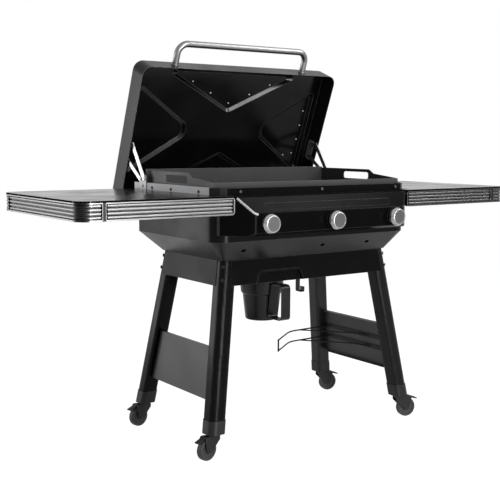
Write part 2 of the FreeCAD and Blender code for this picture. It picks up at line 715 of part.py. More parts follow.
screws = []
for side, sign in SIDES.items():
    for i, y in enumerate(("cart_y + 165", "cart_y + 30", "cart_y - 153")):
        head = ("body_half" if sign > 0 else "0 - body_half - 2.4", y, "body_high_z + 12")
        screws.append(rod(f"rail_screw_{side}_{i}", X_AXIS, "5.5", head, "2.4"))
for i, x in enumerate(("0 - 346", "9", "369")):
    screws.append(rod(f"band_screw_{i}", Y_AXIS, "5.5", (x, "front_y - 3.4", "body_high_z + 15"), "2.4"))
keep("rail_screws", group("rail_screws", screws))

band = box("band_face", ("0 - corner_x + 20", "corner_x - 20"), ("front_y - 1", "front_y + 1"),
           ("body_high_z", "band_high_z"))
band_shelf = box("band_shelf", ("0 - corner_x + 40", "corner_x - 40"),
                 ("front_y - 1", "front_y + band_ledge"), ("body_high_z", "ledge_top_z"))
keep("front_band", fuse("front_band", [band, band_shelf]))

blocks = []
for side, sign in SIDES.items():
    block = new_body("corner_block_" + side)
    plan = [(f"{sign} * (corner_x - 20)", "front_y - 1"),
            (f"{sign} * (corner_x + 1)", "cart_y - 250", "8"),
            (f"{sign} * body_half", "cart_y - rail_front"),
            (f"{sign} * (body_half - 12)", "cart_y - rail_front"),
            (f"{sign} * (corner_x - 20)", "cart_y - 246")]
    pad(block, new_sketch(block, "XY_Plane", "body_high_z", [plan]),
        "band_high_z + 1 - body_high_z")
    blocks.append(block)
keep("corner_blocks", group("corner_blocks", blocks))


# Control fascia: one profile along X, cut to a plan with angled ends

def fascia_form(name, shrink, back):
    profile_body = new_body(name + "_profile")
    profile = [(back, f"fascia_low_z + {shrink}"),
               (f"cart_y - fascia_front + 18", f"fascia_low_z + {shrink}"),
               (f"fascia_face_y + {shrink}", f"fascia_low_z + 9 + {shrink} * 0.5"),
               (f"fascia_face_y + {shrink}", f"fascia_crest_z - {shrink} * 0.3", "6"),
               (f"cart_y - fascia_top_front + {shrink} * 0.5", f"fascia_top_z - {shrink}", "3"),
               (back, f"fascia_top_z - {shrink}")]
    pad(profile_body, new_sketch(profile_body, "YZ_Plane", "0", [profile]),
        "2 * fascia_back_half + 10", middle=True)
    plan_body = new_body(name + "_plan")
    back_half = f"(fascia_back_half - {shrink})"
    front_half = f"(fascia_front_half - {shrink} * 0.4)"
    plan = [(f"0 - {back_half}", back), (f"0 - {back_half}", f"front_y + {shrink} * 0.4"),
            (f"0 - {front_half}", f"fascia_face_y + {shrink}", "fascia_corner_round"),
            (front_half, f"fascia_face_y + {shrink}", "fascia_corner_round"),
            (back_half, f"front_y + {shrink} * 0.4"), (back_half, back)]
    pad(plan_body, new_sketch(plan_body, "XY_Plane", "fascia_low_z - 10", [plan]),
        "fascia_top_z - fascia_low_z + 20")
    form = doc.addObject("Part::MultiCommon", name)
    form.Shapes = [profile_body, plan_body]
    return form


outer = fascia_form("fascia_outer", "0", "front_y + 24")
inner = fascia_form("fascia_inner", "fascia_wall", "front_y + 26")
body_block = new_body("body_block")
pad(body_block, new_sketch(body_block, "XY_Plane", "fascia_low_z - 20", [body_plan("0")]),
    "body_height + 45")
stem_holes = [rod(f"stem_hole_{i}", Y_AXIS, "7", (f"{i} * knob_spacing", "fascia_face_y - 5",
                                                   "knob_z"), "20") for i in (-1, 0, 1)]
recess = new_body("badge_recess")
slope = "atan((fascia_top_z - fascia_crest_z) / (fascia_front - fascia_top_front))"
recess_plan = [("0 - 267", "12", "5"), ("267", "12", "5"), ("291", "41", "5"),
               ("0 - 291", "41", "5")]
pad(recess, new_sketch(recess, "XY_Plane", "0 - 0.7", [recess_plan]), "10")
place(recess, "0", "fascia_face_y", "fascia_crest_z", X_AXIS, slope)
keep("control_fascia", cut("control_fascia", cut("fascia_hollow", outer, inner),
                           fuse("fascia_cuts", [body_block, recess] + stem_holes)))

bezels = []
for i in (-1, 0, 1):
    ring = rod(f"bezel_ring_{i}", Y_AXIS, "bezel_radius",
               (f"{i} * knob_spacing", "fascia_face_y - bezel_depth", "knob_z"), "bezel_depth")
    hole = rod(f"bezel_hole_{i}", Y_AXIS, "7",
               (f"{i} * knob_spacing", "fascia_face_y - bezel_depth - 1", "knob_z"),
               "bezel_depth + 2")
    bezels.append(cut(f"bezel_{i}", ring, hole))
keep("knob_bezels", group("knob_bezels", bezels))

KNOBS = {"left": -1, "middle": 0, "right": 1}
knob_back = "fascia_face_y - bezel_depth - knob_gap"
for name, i in KNOBS.items():
    knob = new_body("knob_form_" + name)
    form = [("stem_radius + pin_fit", "0"), ("knob_radius - 4", "0", "1"),
            ("knob_radius - 4", "5", "1"), ("knob_radius - 7.5", "6"),
            ("knob_radius - 7.5", "9"), ("knob_radius", "10", "1.5"),
            ("knob_radius", "15", "4"), ("knob_radius - 5", "knob_depth", "3"),
            ("0", "knob_depth"), ("0", "knob_depth - 6"),
            ("stem_radius + pin_fit", "knob_depth - 6")]
    revolve(knob, new_sketch(knob, "XY_Plane", "0", [form]))
    mark = box("knob_mark_" + name, ("0 - 1.2", "1.2"),
               ("knob_depth - 0.8", "knob_depth + 5"), ("14", "26"))
    turned = cut("knob_" + name, knob, mark)
    turned.Placement = FreeCAD.Placement(V(), FreeCAD.Rotation(Z_AXIS, 180))
    keep("knob_" + name, place(turned, f"{i} * knob_spacing", knob_back, "knob_z"))
    stem = rod("valve_stem_" + name, Y_AXIS, "stem_radius",
               (f"{i} * knob_spacing", f"{knob_back} - knob_depth + 7", "knob_z"), "stem_length")
    keep("valve_stem_" + name, stem)


# Gas manifold with its valves, and the burners

gas = [rod("manifold_pipe", X_AXIS, "manifold_radius",
           ("0 - knob_spacing - 42", "cart_y - manifold_y", "manifold_z"),
           "2 * knob_spacing + 114")]
valve_bores = []
for name, i in KNOBS.items():
    x = f"{i} * knob_spacing"
    valve = rod("valve_" + name, Y_AXIS, "11", (x, "cart_y - manifold_y - 32", "knob_z"), "44")
    riser = rod("riser_" + name, Z_AXIS, "5", (x, "cart_y - manifold_y", "manifold_z"),
                "burner_z - manifold_z + 5")
    nozzle = rod("nozzle_" + name, Y_AXIS, "4", (x, "cart_y - manifold_y", "burner_z"), "14")
    bore = rod("valve_bore_" + name, Y_AXIS, "stem_radius + pin_fit",
               (x, "cart_y - manifold_y - 40", "knob_z"), "32")
    gas += [valve, riser, nozzle]
    valve_bores.append(bore)
for i, x in enumerate(("0 - 150", "140")):
    gas.append(box(f"manifold_bracket_{i}", (x, f"{x} + 20"),
                   ("cart_y - manifold_y - 4", "front_y"), ("manifold_z - 4", "manifold_z + 4")))
keep("gas_manifold", cut("gas_manifold", fuse("manifold_parts", gas),
                         fuse("valve_bores", valve_bores)))

burners = []
for name, i in KNOBS.items():
    x = f"{i} * knob_spacing"
    neck_hole = rod("burner_mouth_" + name, Y_AXIS, "venturi_radius - 1.5",
                    (x, "front_y - 20", "burner_z"), "60")
    pieces = [rod("burner_tube_" + name, Y_AXIS, "burner_radius",
                  (x, "front_y + 20", "burner_z"), "burner_back + 241"),
              rod("burner_flange_" + name, Y_AXIS, "22",
                  (x, "front_y + body_wall", "burner_z"), "2"),
              rod("burner_neck_" + name, Y_AXIS, "venturi_radius",
                  (x, "front_y - 10", "burner_z"), "32"),
              box("burner_tail_" + name, (f"{x} - 12", f"{x} + 12"),
                  ("cart_y + burner_back - 4", "back_y - body_wall"),
                  ("burner_z - 1.5", "burner_z + 1.5"))]
    gas_room = rod("burner_room_" + name, Y_AXIS, "burner_radius - 1.5",
                   (x, "front_y + 22", "burner_z"), "burner_back + 237")
    burners.append(cut("burner_" + name, fuse("burner_solid_" + name, pieces),
                       fuse("burner_hollow_" + name, [neck_hole, gas_room])))
keep("burners", group("burners", burners))


# Griddle plate with its walls, front trough and drain

floor = box("griddle_floor", ("0 - plate_half", "plate_half"),
            ("plate_front_y + trough_width", "plate_back_y"), ("cook_z - plate_thick", "cook_z"))
trough = box("griddle_trough", ("0 - plate_half", "plate_half"),
             ("plate_front_y", "plate_front_y + trough_width + plate_wall"),
             ("trough_low_z", "trough_low_z + plate_wall"))
step = box("griddle_step", ("0 - plate_half", "plate_half"),
           ("plate_front_y + trough_width", "plate_front_y + trough_width + plate_wall"),
           ("trough_low_z", "cook_z"))
front_lip = box("griddle_front", ("0 - plate_half", "plate_half"),
                ("plate_front_y", "plate_front_y + plate_wall"), ("trough_low_z", "front_lip_z"))
backsplash = box("griddle_back", ("0 - plate_half", "plate_half"),
                 ("plate_back_y - plate_wall", "plate_back_y"),
                 ("cook_z - plate_thick", "backsplash_z"))
griddle = [floor, trough, step, front_lip, backsplash]
for side, sign in SIDES.items():
    wall = new_body("griddle_wall_" + side)
    profile = [("plate_front_y", "trough_low_z"), ("plate_back_y", "trough_low_z"),
               ("plate_back_y", "side_wall_z"), ("cart_y - 58", "side_wall_z", "6"),
               ("cart_y - 85", "shoulder_z", "10"), ("plate_front_y", "front_lip_z")]
    slot = rectangle("cart_y - slot_front", "cart_y + slot_back", "slot_low_z",
                     "slot_high_z", "9")
    offset = "plate_half - plate_wall" if sign > 0 else "0 - plate_half"
    pad(wall, new_sketch(wall, "YZ_Plane", offset, [profile, slot]), "plate_wall")
    griddle.append(wall)
FOOT_X = "(plate_half - foot_pad_inset)"
for i, (x, y) in enumerate(((f"0 - {FOOT_X}", "cart_y - 160"), (FOOT_X, "cart_y - 160"),
                            (f"0 - {FOOT_X}", "plate_back_y - 25"),
                            (FOOT_X, "plate_back_y - 25"))):
    griddle.append(rod(f"griddle_foot_{i}", Z_AXIS, "foot_pad_radius", (x, y, "ledge_top_z"),
                       "cook_z - plate_thick - ledge_top_z"))
drain = rod("griddle_drain", Z_AXIS, "drain_radius",
            ("bucket_x", "plate_front_y + plate_wall + trough_width / 2", "trough_low_z - 5"),
            "20")
keep("griddle_plate", cut("griddle_plate", fuse("griddle_sheet", griddle), drain))


# Grease chute, bucket and slides

chute_body = new_body("chute_tube")


def chute_plan(shrink):
    return [(f"bucket_x - 26 + {shrink}", f"chute_low_y - 22 + {shrink}"),
            (f"bucket_x + 26 - {shrink}", f"chute_low_y - 22 + {shrink}"),
            (f"bucket_x + 26 - {shrink}", f"chute_low_y + 22 - {shrink}"),
            (f"bucket_x - 26 + {shrink}", f"chute_low_y + 22 - {shrink}")]


pad(chute_body, new_sketch(chute_body, "XY_Plane", "chute_low_z",
                           [chute_plan("0"), chute_plan("1.2")]), "chute_high_z - chute_low_z",
    lean=("0", "(chute_high_y - chute_low_y) / (chute_high_z - chute_low_z)"))
chute_tab = box("chute_tab", ("bucket_x - 24", "bucket_x + 24"),
                ("front_y + body_wall", "plate_front_y + 12"),
                ("body_high_z - 27", "body_high_z - 25.5"))
chute_foot = box("chute_foot", ("bucket_x - 24", "bucket_x + 24"),
                 ("front_y + body_wall", "front_y + body_wall + 1.5"),
                 ("body_high_z - 45", "body_high_z - 25.5"))
keep("grease_chute", fuse("grease_chute", [chute_body, chute_tab, chute_foot]))

bucket = new_body("bucket_cup")
top = "bucket_high_z"
band = f"({top} - bucket_band)"
cup_radius = "(bucket_top_radius - 11.5)"
collar_radius = "(bucket_top_radius - 5.5)"
profile = [("0", "bucket_low_z"), ("bucket_low_radius", "bucket_low_z", "6"),
           (cup_radius, band), (collar_radius, f"{band} + 5"),
           ("bucket_top_radius", f"{top} - bucket_wall"),
           ("bucket_top_radius + bucket_rim", f"{top} - bucket_wall"),
           ("bucket_top_radius + bucket_rim", top),
           ("bucket_top_radius - bucket_wall", top),
           (f"{collar_radius} - bucket_wall", f"{band} + 6"),
           (f"{cup_radius} - bucket_wall", f"{band} + 1"),
           ("bucket_low_radius - bucket_wall", "bucket_low_z + bucket_wall", "5"),
           ("0", "bucket_low_z + bucket_wall")]
revolve(bucket, new_sketch(bucket, "XZ_Plane", "0", [profile]))
place(bucket, "bucket_x", "cart_y - bucket_y", "0")
keep("grease_bucket", bucket)


def grip_outline(shrink):
    """The strap's loop; its back side follows the cup with a small gap."""
    low, high = f"bucket_low_z + 12 + {shrink}", f"{top} - 6 - {shrink}"
    return [(f"bucket_low_radius + 4.5 + {shrink}", low, f"13 - {shrink}"),
            (f"grip_reach - {shrink}", low, f"16 - {shrink}"),
            (f"grip_reach - {shrink}", high, f"16 - {shrink}"),
            (f"bucket_top_radius + 2.5 + {shrink}", high, f"13 - {shrink}")]


grip = new_body("bucket_grip")
pad(grip, new_sketch(grip, "XZ_Plane", "0", [grip_outline("0"), grip_outline("grip_wall")]),
    "grip_width", middle=True)


def cup_side(z, low_radius, low_z, high_radius, high_z):
    """The cup's radius at a height of one of its two sloping walls."""
    return f"({low_radius} + ({high_radius} - {low_radius}) * ({z} - {low_z}) / ({high_z} - {low_z}))"


low_rivet = "(bucket_low_z + 28)"
high_rivet = f"({top} - 26)"
low_seat = cup_side(f"({low_rivet} + rivet_radius)", "bucket_low_radius", "bucket_low_z",
                    cup_radius, band)
high_seat = cup_side(f"({high_rivet} + rivet_radius)", collar_radius, f"({band} + 5)",
                     "bucket_top_radius", f"({top} - bucket_wall)")
rivets = [rod(f"grip_rivet_{i}", X_AXIS, "rivet_radius", (f"{seat} + rivet_gap", "0", z), "5")
          for i, (seat, z) in enumerate(((low_seat, low_rivet), (high_seat, high_rivet)))]
keep("bucket_handle", place(fuse("bucket_handle", [grip] + rivets), "bucket_x",
                            "cart_y - bucket_y", "0", Z_AXIS, "0 - 90"))

slides = []
rim_low = f"{top} - bucket_wall"
for side, sign in SIDES.items():
    near = "bucket_top_radius + slide_gap"
    far = "bucket_top_radius + bucket_rim + slide_gap"
    lip_x = mirrored(sign, near, f"{far} + 2")
    web_x = mirrored(sign, far, f"{far} + 2")
    lip_x = tuple(f"bucket_x + ({x})" for x in lip_x)
    web_x = tuple(f"bucket_x + ({x})" for x in web_x)
    ys = ("cart_y - tub_half_y + 22", "cart_y + 30")
    slides.append(fuse("slide_" + side, [
        box("slide_lip_" + side, lip_x, ys, (f"{rim_low} - 2", rim_low)),
        box("slide_web_" + side, web_x, ys, (f"{rim_low} - 2", "leg_top_z")),
        box("slide_top_" + side, lip_x, ys, ("leg_top_z - 2", "leg_top_z"))]))
keep("bucket_slides", group("bucket_slides", slides))


# Tank hook and tank guard

hook = new_body("hook_strap")
hook_low = "(leg_top_z - 177)"
hook_outline = [("108", "leg_top_z"), ("108", hook_low, "26"), ("168", hook_low, "26"),
                ("168", f"{hook_low} + 40"), ("164", f"{hook_low} + 40"),
                ("164", f"{hook_low} + 4", "22"), ("112", f"{hook_low} + 4", "22"),
                ("112", "leg_top_z - 3"), ("150", "leg_top_z - 3"), ("150", "leg_top_z")]
pad(hook, new_sketch(hook, "XZ_Plane", "0 - cart_y", [hook_outline]), "24", middle=True)
keep("tank_hook", hook)


def bent_tube(name, plane, offset, corners, radius, wall=None):
    """A round bar or tube along an open path with rounded bends."""
    body = new_body(name)
    path = new_sketch(body, plane, offset)
    add_path(path, corners)
    doc.recompute()
    section = body.newObject("Sketcher::SketchObject", name + "Section")
    section.AttachmentSupport = [(path, "Edge1")]
    section.MapMode = "NormalToEdge"
    doc.recompute()
    add_circle(section, "0", "0", radius)
    if wall is not None:
        add_circle(section, "0", "0", f"{radius} - {wall}")
    pipe = body.newObject("PartDesign::AdditivePipe", name + "Pipe")
    pipe.Profile = section
    pipe.Spine = (path, [f"Edge{i + 1}" for i in range(len(path.Shape.Edges))])
    doc.recompute()
    return body


def add_path(sketch, corners):
    """An open path; each inner corner is (x, y, radius)."""
    points = [V(number(c[0]), number(c[1]), 0) for c in corners]
    last = len(corners) - 1
    cursor = points[0]
    previous = None
    line_before = None
    for i in range(1, last + 1):
        if i == last:
            target, bend = points[i], None
        else:
            radius = number(corners[i][2])
            target, leave, centre = rounded_corner(points[i - 1], points[i], points[i + 1],
                                                   radius)
            bend = (leave, centre, radius)
        line = sketch.addGeometry(Part.LineSegment(cursor, target))
        if previous is None:
            pin_point(sketch, line, 1, corners[0], points[0])
        else:
            sketch.addConstraint(Sketcher.Constraint("Tangent", line, 1, *previous))
            mark = sketch.addGeometry(Part.Point(points[i - 1]), True)
            sketch.addConstraint(Sketcher.Constraint("PointOnObject", mark, 1, line_before))
            sketch.addConstraint(Sketcher.Constraint("PointOnObject", mark, 1, line))
            pin_point(sketch, mark, 1, corners[i - 1], points[i - 1])
        if bend is None:
            pin_point(sketch, line, 2, corners[i], points[i])
            break
        line_before = line
        leave, centre, radius = bend
        turn = (points[i] - points[i - 1]).cross(points[i + 1] - points[i]).z
        first = math.atan2(target.y - centre.y, target.x - centre.x)
        final = math.atan2(leave.y - centre.y, leave.x - centre.x)
        if turn < 0:
            first, final = final, first
        if final < first:
            final += 2 * math.pi
        curve = sketch.addGeometry(Part.ArcOfCircle(Part.Circle(centre, Z_AXIS, radius),
                                                    first, final))
        near, far = (1, 2) if turn > 0 else (2, 1)
        sketch.addConstraint(Sketcher.Constraint("Tangent", line, 2, curve, near))
        index = sketch.addConstraint(Sketcher.Constraint("Radius", curve, radius))
        bind(sketch, f"Constraints[{index}]", corners[i][2])
        previous = (curve, far)
        cursor = leave


def panel_inner(z):
    """The right cart panel's inner face at a height."""
    return (f"(leg_foot_x - lean_x * ({z} - foot_z) + leg_width / 2 - panel_inset"
            f" - panel_wall / cos(atan(lean_x)))")


guard = []
for level, z in {"upper": "guard_high_z", "lower": "guard_low_z"}.items():
    face = panel_inner(f"({z} + guard_bar / 2)")
    reach = f"{face} - 3"
    guard.append(bent_tube("guard_" + level, "XY_Plane", z,
                           [(reach, "cart_y + 158"), ("190", "cart_y + 147", "110"),
                            ("guard_tip_x", "cart_y + guard_tip_y")], "guard_radius"))
    guard.append(bent_tube("cradle_" + level, "XY_Plane", z,
                           [("244", "cart_y + 149"), ("385", "cart_y - 20", "90"),
                            (reach, "cart_y - 110")], "guard_radius - 0.3"))
    guard.append(box("guard_bar_" + level, (f"{face} - 4", f"{face} - 0.1"),
                     ("cart_y - 168", "cart_y + 180"),
                     (f"{z} - guard_bar / 2", f"{z} + guard_bar / 2")))
guard.append(rod("guard_end", Z_AXIS, "guard_radius + 0.3",
                 ("guard_tip_x", "cart_y + guard_tip_y", "guard_low_z - guard_radius - 0.3"),
                 "guard_high_z - guard_low_z + 2 * guard_radius + 0.6"))
keep("tank_guard", fuse("tank_guard", guard))


# Casters, drawn about the stem with the trail along +X, then turned to rest

stems = []
for corner, (x_sign, y_sign) in LEGS.items():
    spot = (f"{x_sign} * leg_foot_x", f"cart_y + {y_sign} * leg_foot_y")
    stems.append(fuse("stem_" + corner, [
        rod("stem_pin_" + corner, Z_AXIS, "5", spot + ("fork_low_z - 2",), "30"),
        rod("stem_head_" + corner, Z_AXIS, "8", spot + ("fork_low_z - 2.4",), "2"),
        rod("stem_plug_" + corner, Z_AXIS, "6", spot + ("foot_z",), "30"),
        rod("stem_collar_" + corner, Z_AXIS, "15", spot + ("fork_high_z + 0.2",),
            "foot_z - fork_high_z - 0.2")]))
keep("caster_stems", group("caster_stems", stems))

for corner, (x_sign, y_sign) in LEGS.items():
    turn = "left_swivel" if x_sign < 0 else "right_swivel"
    spot = (f"{x_sign} * leg_foot_x", f"cart_y + {y_sign} * leg_foot_y", "0")
    inner = "wheel_width / 2 + fork_gap"
    cheeks = []
    for y_side in (-1, 1):
        cheek = new_body(f"cheek_{corner}_{'left' if y_side < 0 else 'right'}")
        outline = [("0 - 17", "fork_high_z", "4"), ("0 - 17", "fork_low_z - 8", "6"),
                   ("caster_trail - 9", "wheel_radius - 10.5", "8"),
                   ("caster_trail + 9", "wheel_radius - 10.5", "8"),
                   ("caster_trail + 19", "brake_z - 4", "4"),
                   ("caster_trail + 14", "brake_z + 5.5", "3"),
                   ("caster_trail", "brake_z + 5.5", "3"), ("20", "fork_high_z", "3")]
        pin_hole = ("caster_trail + 11", "brake_z", "2.55")
        offset = inner if y_side < 0 else f"0 - ({inner}) - fork_wall"
        pad(cheek, new_sketch(cheek, "XZ_Plane", offset, [outline], [pin_hole]), "fork_wall",
            reverse=False)
        cheeks.append(cheek)
    bridge = box("bridge_" + corner, ("0 - 14", "20"), (f"0 - ({inner})", inner),
                 ("fork_low_z", "fork_high_z"))
    axle = rod("axle_" + corner, Y_AXIS, "axle_radius",
               ("caster_trail", f"0 - ({inner}) - fork_wall - 1.5", "wheel_radius"),
               f"2 * ({inner} + fork_wall + 1.5)")
    bore = rod("fork_bore_" + corner, Z_AXIS, "5.05", ("0", "0", "fork_low_z - 8"), "40")
    fork = cut("fork_" + corner, fuse("fork_solid_" + corner, cheeks + [bridge, axle]), bore)
    keep("caster_fork_" + corner, place(fork, *spot, Z_AXIS, turn))

    tyre = new_body("tyre_" + corner)
    half = "wheel_width / 2"
    profile = [("axle_radius + pin_fit", f"0 - {half} - 1"), ("12", f"0 - {half} - 1"),
               ("13", f"0 - {half} + 3"), ("27", f"0 - {half} + 3"), ("28", f"0 - {half}"),
               ("wheel_radius", f"0 - {half}", "4"), ("wheel_radius", half, "4"),
               ("28", half), ("27", f"{half} - 3"), ("13", f"{half} - 3"),
               ("12", f"{half} + 1"), ("axle_radius + pin_fit", f"{half} + 1")]
    revolve(tyre, new_sketch(tyre, "XY_Plane", "0", [profile]))
    place(tyre, "caster_trail", "0", "wheel_radius")
    wheel = group("wheel_" + corner, [tyre])
    keep("caster_wheel_" + corner, place(wheel, *spot, Z_AXIS, turn))

    pedal = new_body("pedal_" + corner)
    blade = [("caster_trail + 7", "brake_z + 4.6"), ("caster_trail + 12", "brake_z + 4.6"),
             ("caster_trail + 46", "brake_z - 8", "3"),
             ("caster_trail + 48", "brake_z - 14", "2"),
             ("caster_trail + 44", "brake_z - 12"), ("caster_trail + 14", "brake_z - 4.5"),
             ("caster_trail + 9", "brake_z - 2")]
    pad(pedal, new_sketch(pedal, "XZ_Plane", "0", [blade]), "20", middle=True)
    barrel = rod("pedal_barrel_" + corner, Y_AXIS, "4.4",
                 ("caster_trail + 11", "0 - wheel_width / 2 - 1.6", "brake_z"), "wheel_width + 3.2")
    pins = rod("pedal_pins_" + corner, Y_AXIS, "2.5",
               ("caster_trail + 11", f"0 - ({inner}) - fork_wall", "brake_z"),
               f"2 * ({inner} + fork_wall)")
    brake = fuse("brake_" + corner, [pedal, barrel, pins])
    keep("caster_brake_" + corner, place(brake, *spot, Z_AXIS, turn))


# Side shelves with their brackets and ribbed trims

def shelf_plan(sign, shrink, tongue):
    """The shelf's outline; the tongue reaches in ahead of the cook box's corner."""
    x_out = f"{sign} * (shelf_end_x - {shrink})"
    front, back = f"trim_front_y + {shrink}", f"trim_back_y - {shrink}"
    plan = [(x_out, front, f"shelf_round - {shrink}"), (x_out, back, f"shelf_round - {shrink}"),
            (f"{sign} * (shelf_inner_x + {tongue})", back),
            (f"{sign} * (shelf_inner_x + {tongue})", f"front_y - 3 - {tongue}"),
            (f"{sign} * (trim_inner_x + 2 + {tongue})", f"front_y - 3 - {tongue}"),
            (f"{sign} * (trim_inner_x + 2 + {tongue})", front)]
    return plan


RIB_PITCH = "((shelf_high_z - shelf_low_z - 2 * trim_bead) / rib_count)"
RIB_RISE = "(trim_recess - 0.6)"
RIB_RADIUS = f"({RIB_PITCH} * {RIB_PITCH} / 4 + {RIB_RISE} * {RIB_RISE}) / (2 * {RIB_RISE})"


def add_ribs(sketch, n_of):
    """The trim's section: a bead at each edge and rounded ribs between."""
    low, high = "shelf_low_z", "shelf_high_z"
    deep, proud = n_of("trim_depth - trim_recess"), n_of("trim_depth")
    points = [(n_of("0"), low), (proud, low), (proud, f"{low} + trim_bead"),
              (deep, f"{low} + trim_bead")]
    for i in range(1, 5):
        points.append((deep, f"{low} + trim_bead + {i} * {RIB_PITCH}"))
    points += [(proud, f"{high} - trim_bead"), (proud, high), (n_of("0"), high)]
    spots = [V(number(a), number(b), 0) for a, b in points]
    crown_n = number(n_of("trim_depth - 0.6"))
    pieces = []
    for i, start in enumerate(spots):
        end = spots[(i + 1) % len(spots)]
        if 3 <= i <= 6:
            crown = V(crown_n, (start.y + end.y) / 2, 0)
            index = sketch.addGeometry(Part.Arc(start, crown, end))
            swapped = (sketch.getPoint(index, 1) - start).Length > 0.01
            pieces.append((index, 2, 1) if swapped else (index, 1, 2))
        else:
            pieces.append((sketch.addGeometry(Part.LineSegment(start, end)), 1, 2))
    for i, (index, first, last) in enumerate(pieces):
        after, near, far = pieces[(i + 1) % len(pieces)]
        sketch.addConstraint(Sketcher.Constraint("Coincident", index, last, after, near))
    for i, (index, first, last) in enumerate(pieces):
        pin_point(sketch, index, first, points[i], spots[i])
        if 3 <= i <= 6:
            bend = sketch.addConstraint(Sketcher.Constraint("Radius", index,
                                                            number(RIB_RADIUS)))
            bind(sketch, f"Constraints[{bend}]", RIB_RADIUS)


def front_trim(side, sign):
    strip = new_body("front_trim_ribs_" + side)
    x_low, x_high = "trim_inner_x", "trim_break_x - trim_gap / 2"
    start = f"{x_low}" if sign > 0 else f"0 - ({x_high})"
    section = new_sketch(strip, "YZ_Plane", start)
    add_ribs(section, lambda n: f"trim_front_y + trim_depth - ({n})")
    pad(strip, section, f"{x_high} - {x_low}")
    ends = []
    for i, x in enumerate((x_low, f"{x_high} - trim_bead")):
        xs = (x, f"{x} + trim_bead") if sign > 0 else (f"0 - ({x}) - trim_bead", f"0 - ({x})")
        ends.append(box(f"front_trim_end_{side}_{i}", xs, ("trim_front_y",
                                                          "trim_front_y + trim_depth"),
                        ("shelf_low_z", "shelf_high_z")))
    bar = fuse("front_trim_bar_" + side, [strip] + ends)
    mask = new_body("front_trim_mask_" + side)
    xs = (x_low, x_high) if sign > 0 else (f"0 - ({x_high})", f"0 - {x_low}")
    pad(mask, new_sketch(mask, "XZ_Plane", "0 - trim_front_y - 30",
                         [rectangle(*xs, "shelf_low_z", "shelf_high_z", "trim_round")]), "40")
    common = doc.addObject("Part::MultiCommon", "front_trim_" + side)
    common.Shapes = [bar, mask]
    return common


def end_trim(side, sign):
    strip = new_body("end_trim_ribs_" + side)
    inset = "trim_depth"
    path = new_sketch(strip, "XY_Plane", "0")
    start_x = f"{sign} * (trim_break_x + trim_gap / 2)"
    x_out = f"{sign} * (shelf_end_x - {inset})"
    add_path(path, [(start_x, f"trim_front_y + {inset}"),
                    (x_out, f"trim_front_y + {inset}", f"shelf_round - {inset}"),
                    (x_out, f"trim_back_y - {inset}", f"shelf_round - {inset}"),
                    (start_x, f"trim_back_y - {inset}")])
    section = new_sketch(strip, "YZ_Plane", start_x)
    add_ribs(section, lambda n: f"trim_front_y + trim_depth - ({n})")
    pipe = strip.newObject("PartDesign::AdditivePipe", "end_trim_pipe_" + side)
    pipe.Profile = section
    doc.recompute()
    pipe.Spine = (path, [f"Edge{i + 1}" for i in range(len(path.Shape.Edges))])
    ends = []
    for i, y in enumerate(("trim_front_y", "trim_back_y - trim_depth")):
        xs = (start_x, f"{start_x} + trim_bead") if sign > 0 else (f"{start_x} - trim_bead",
                                                                  start_x)
        ends.append(box(f"end_trim_end_{side}_{i}", xs, (y, f"{y} + trim_depth"),
                        ("shelf_low_z", "shelf_high_z")))
    return fuse("end_trim_" + side, [strip] + ends)


for side, sign in SIDES.items():
    top = new_body("shelf_sheet_" + side)
    pad(top, new_sketch(top, "XY_Plane", "shelf_high_z", [shelf_plan(sign, "0", "0")]),
        "shelf_top_z - shelf_high_z")
    under = new_body("shelf_under_" + side)
    pad(under, new_sketch(under, "XY_Plane", "shelf_high_z - 1",
                          [shelf_plan(sign, "shelf_wall", "shelf_wall")]),
        "shelf_top_z - shelf_high_z + 1 - shelf_wall")
    skirt = new_body("shelf_skirt_" + side)
    pad(skirt, new_sketch(skirt, "XY_Plane", "shelf_low_z",
                          [shelf_plan(sign, "trim_depth", "0"),
                           shelf_plan(sign, "(trim_depth + shelf_wall)", "shelf_wall")]),
        "shelf_top_z - shelf_low_z - 0.5")
    tray = fuse("shelf_tray_" + side, [cut("shelf_cap_" + side, top, under), skirt])
    fascia_room = box("shelf_room_" + side,
                      ("trim_inner_x", "shelf_inner_x") if sign > 0 else
                      ("0 - shelf_inner_x", "0 - trim_inner_x"),
                      ("trim_front_y + trim_depth + shelf_wall", "front_y"),
                      ("shelf_low_z - 5", "shelf_high_z"))
    keep("shelf_top_" + side, cut("shelf_top_" + side, tray, fascia_room))
    keep("shelf_trim_" + side, group("shelf_trim_" + side, [front_trim(side, sign),
                                                          end_trim(side, sign)]))

brackets = []
arm_low = "shelf_low_z - 73"
for side, sign in SIDES.items():
    for place_name, y in (("front", "cart_y - 150"), ("rear", "cart_y + 170")):
        arm = new_body(f"shelf_arm_{side}_{place_name}")
        outline = [(f"{sign} * body_half", "shelf_low_z"), (f"{sign} * body_half", arm_low),
                   (f"{sign} * (body_half + 30)", arm_low, "6"),
                   (f"{sign} * 700", "shelf_low_z - 12", "6"), (f"{sign} * 700", "shelf_low_z")]
        pad(arm, new_sketch(arm, "XZ_Plane", f"0 - ({y})", [outline]), "2.5")
        xs = ("body_half", "700") if sign > 0 else ("0 - 700", "0 - body_half")
        wall_x = ("body_half", "body_half + 2.5") if sign > 0 else ("0 - body_half - 2.5",
                                                                   "0 - body_half")
        flange = box(f"shelf_arm_top_{side}_{place_name}", xs, (f"{y} - 22", y),
                     ("shelf_low_z - 2.5", "shelf_low_z"))
        foot = box(f"shelf_arm_foot_{side}_{place_name}", wall_x, (f"{y} - 22", y),
                   (arm_low, "shelf_low_z"))
        brackets.append(fuse(f"shelf_bracket_{side}_{place_name}", [arm, flange, foot]))
keep("shelf_brackets", group("shelf_brackets", brackets))


# Lid, drawn shut with its front rim on the Y origin, then swung open

def open_lid(thing):
    return place(thing, "0", "lid_open_y", "lid_open_z", X_AXIS, "0 - lid_open_angle")


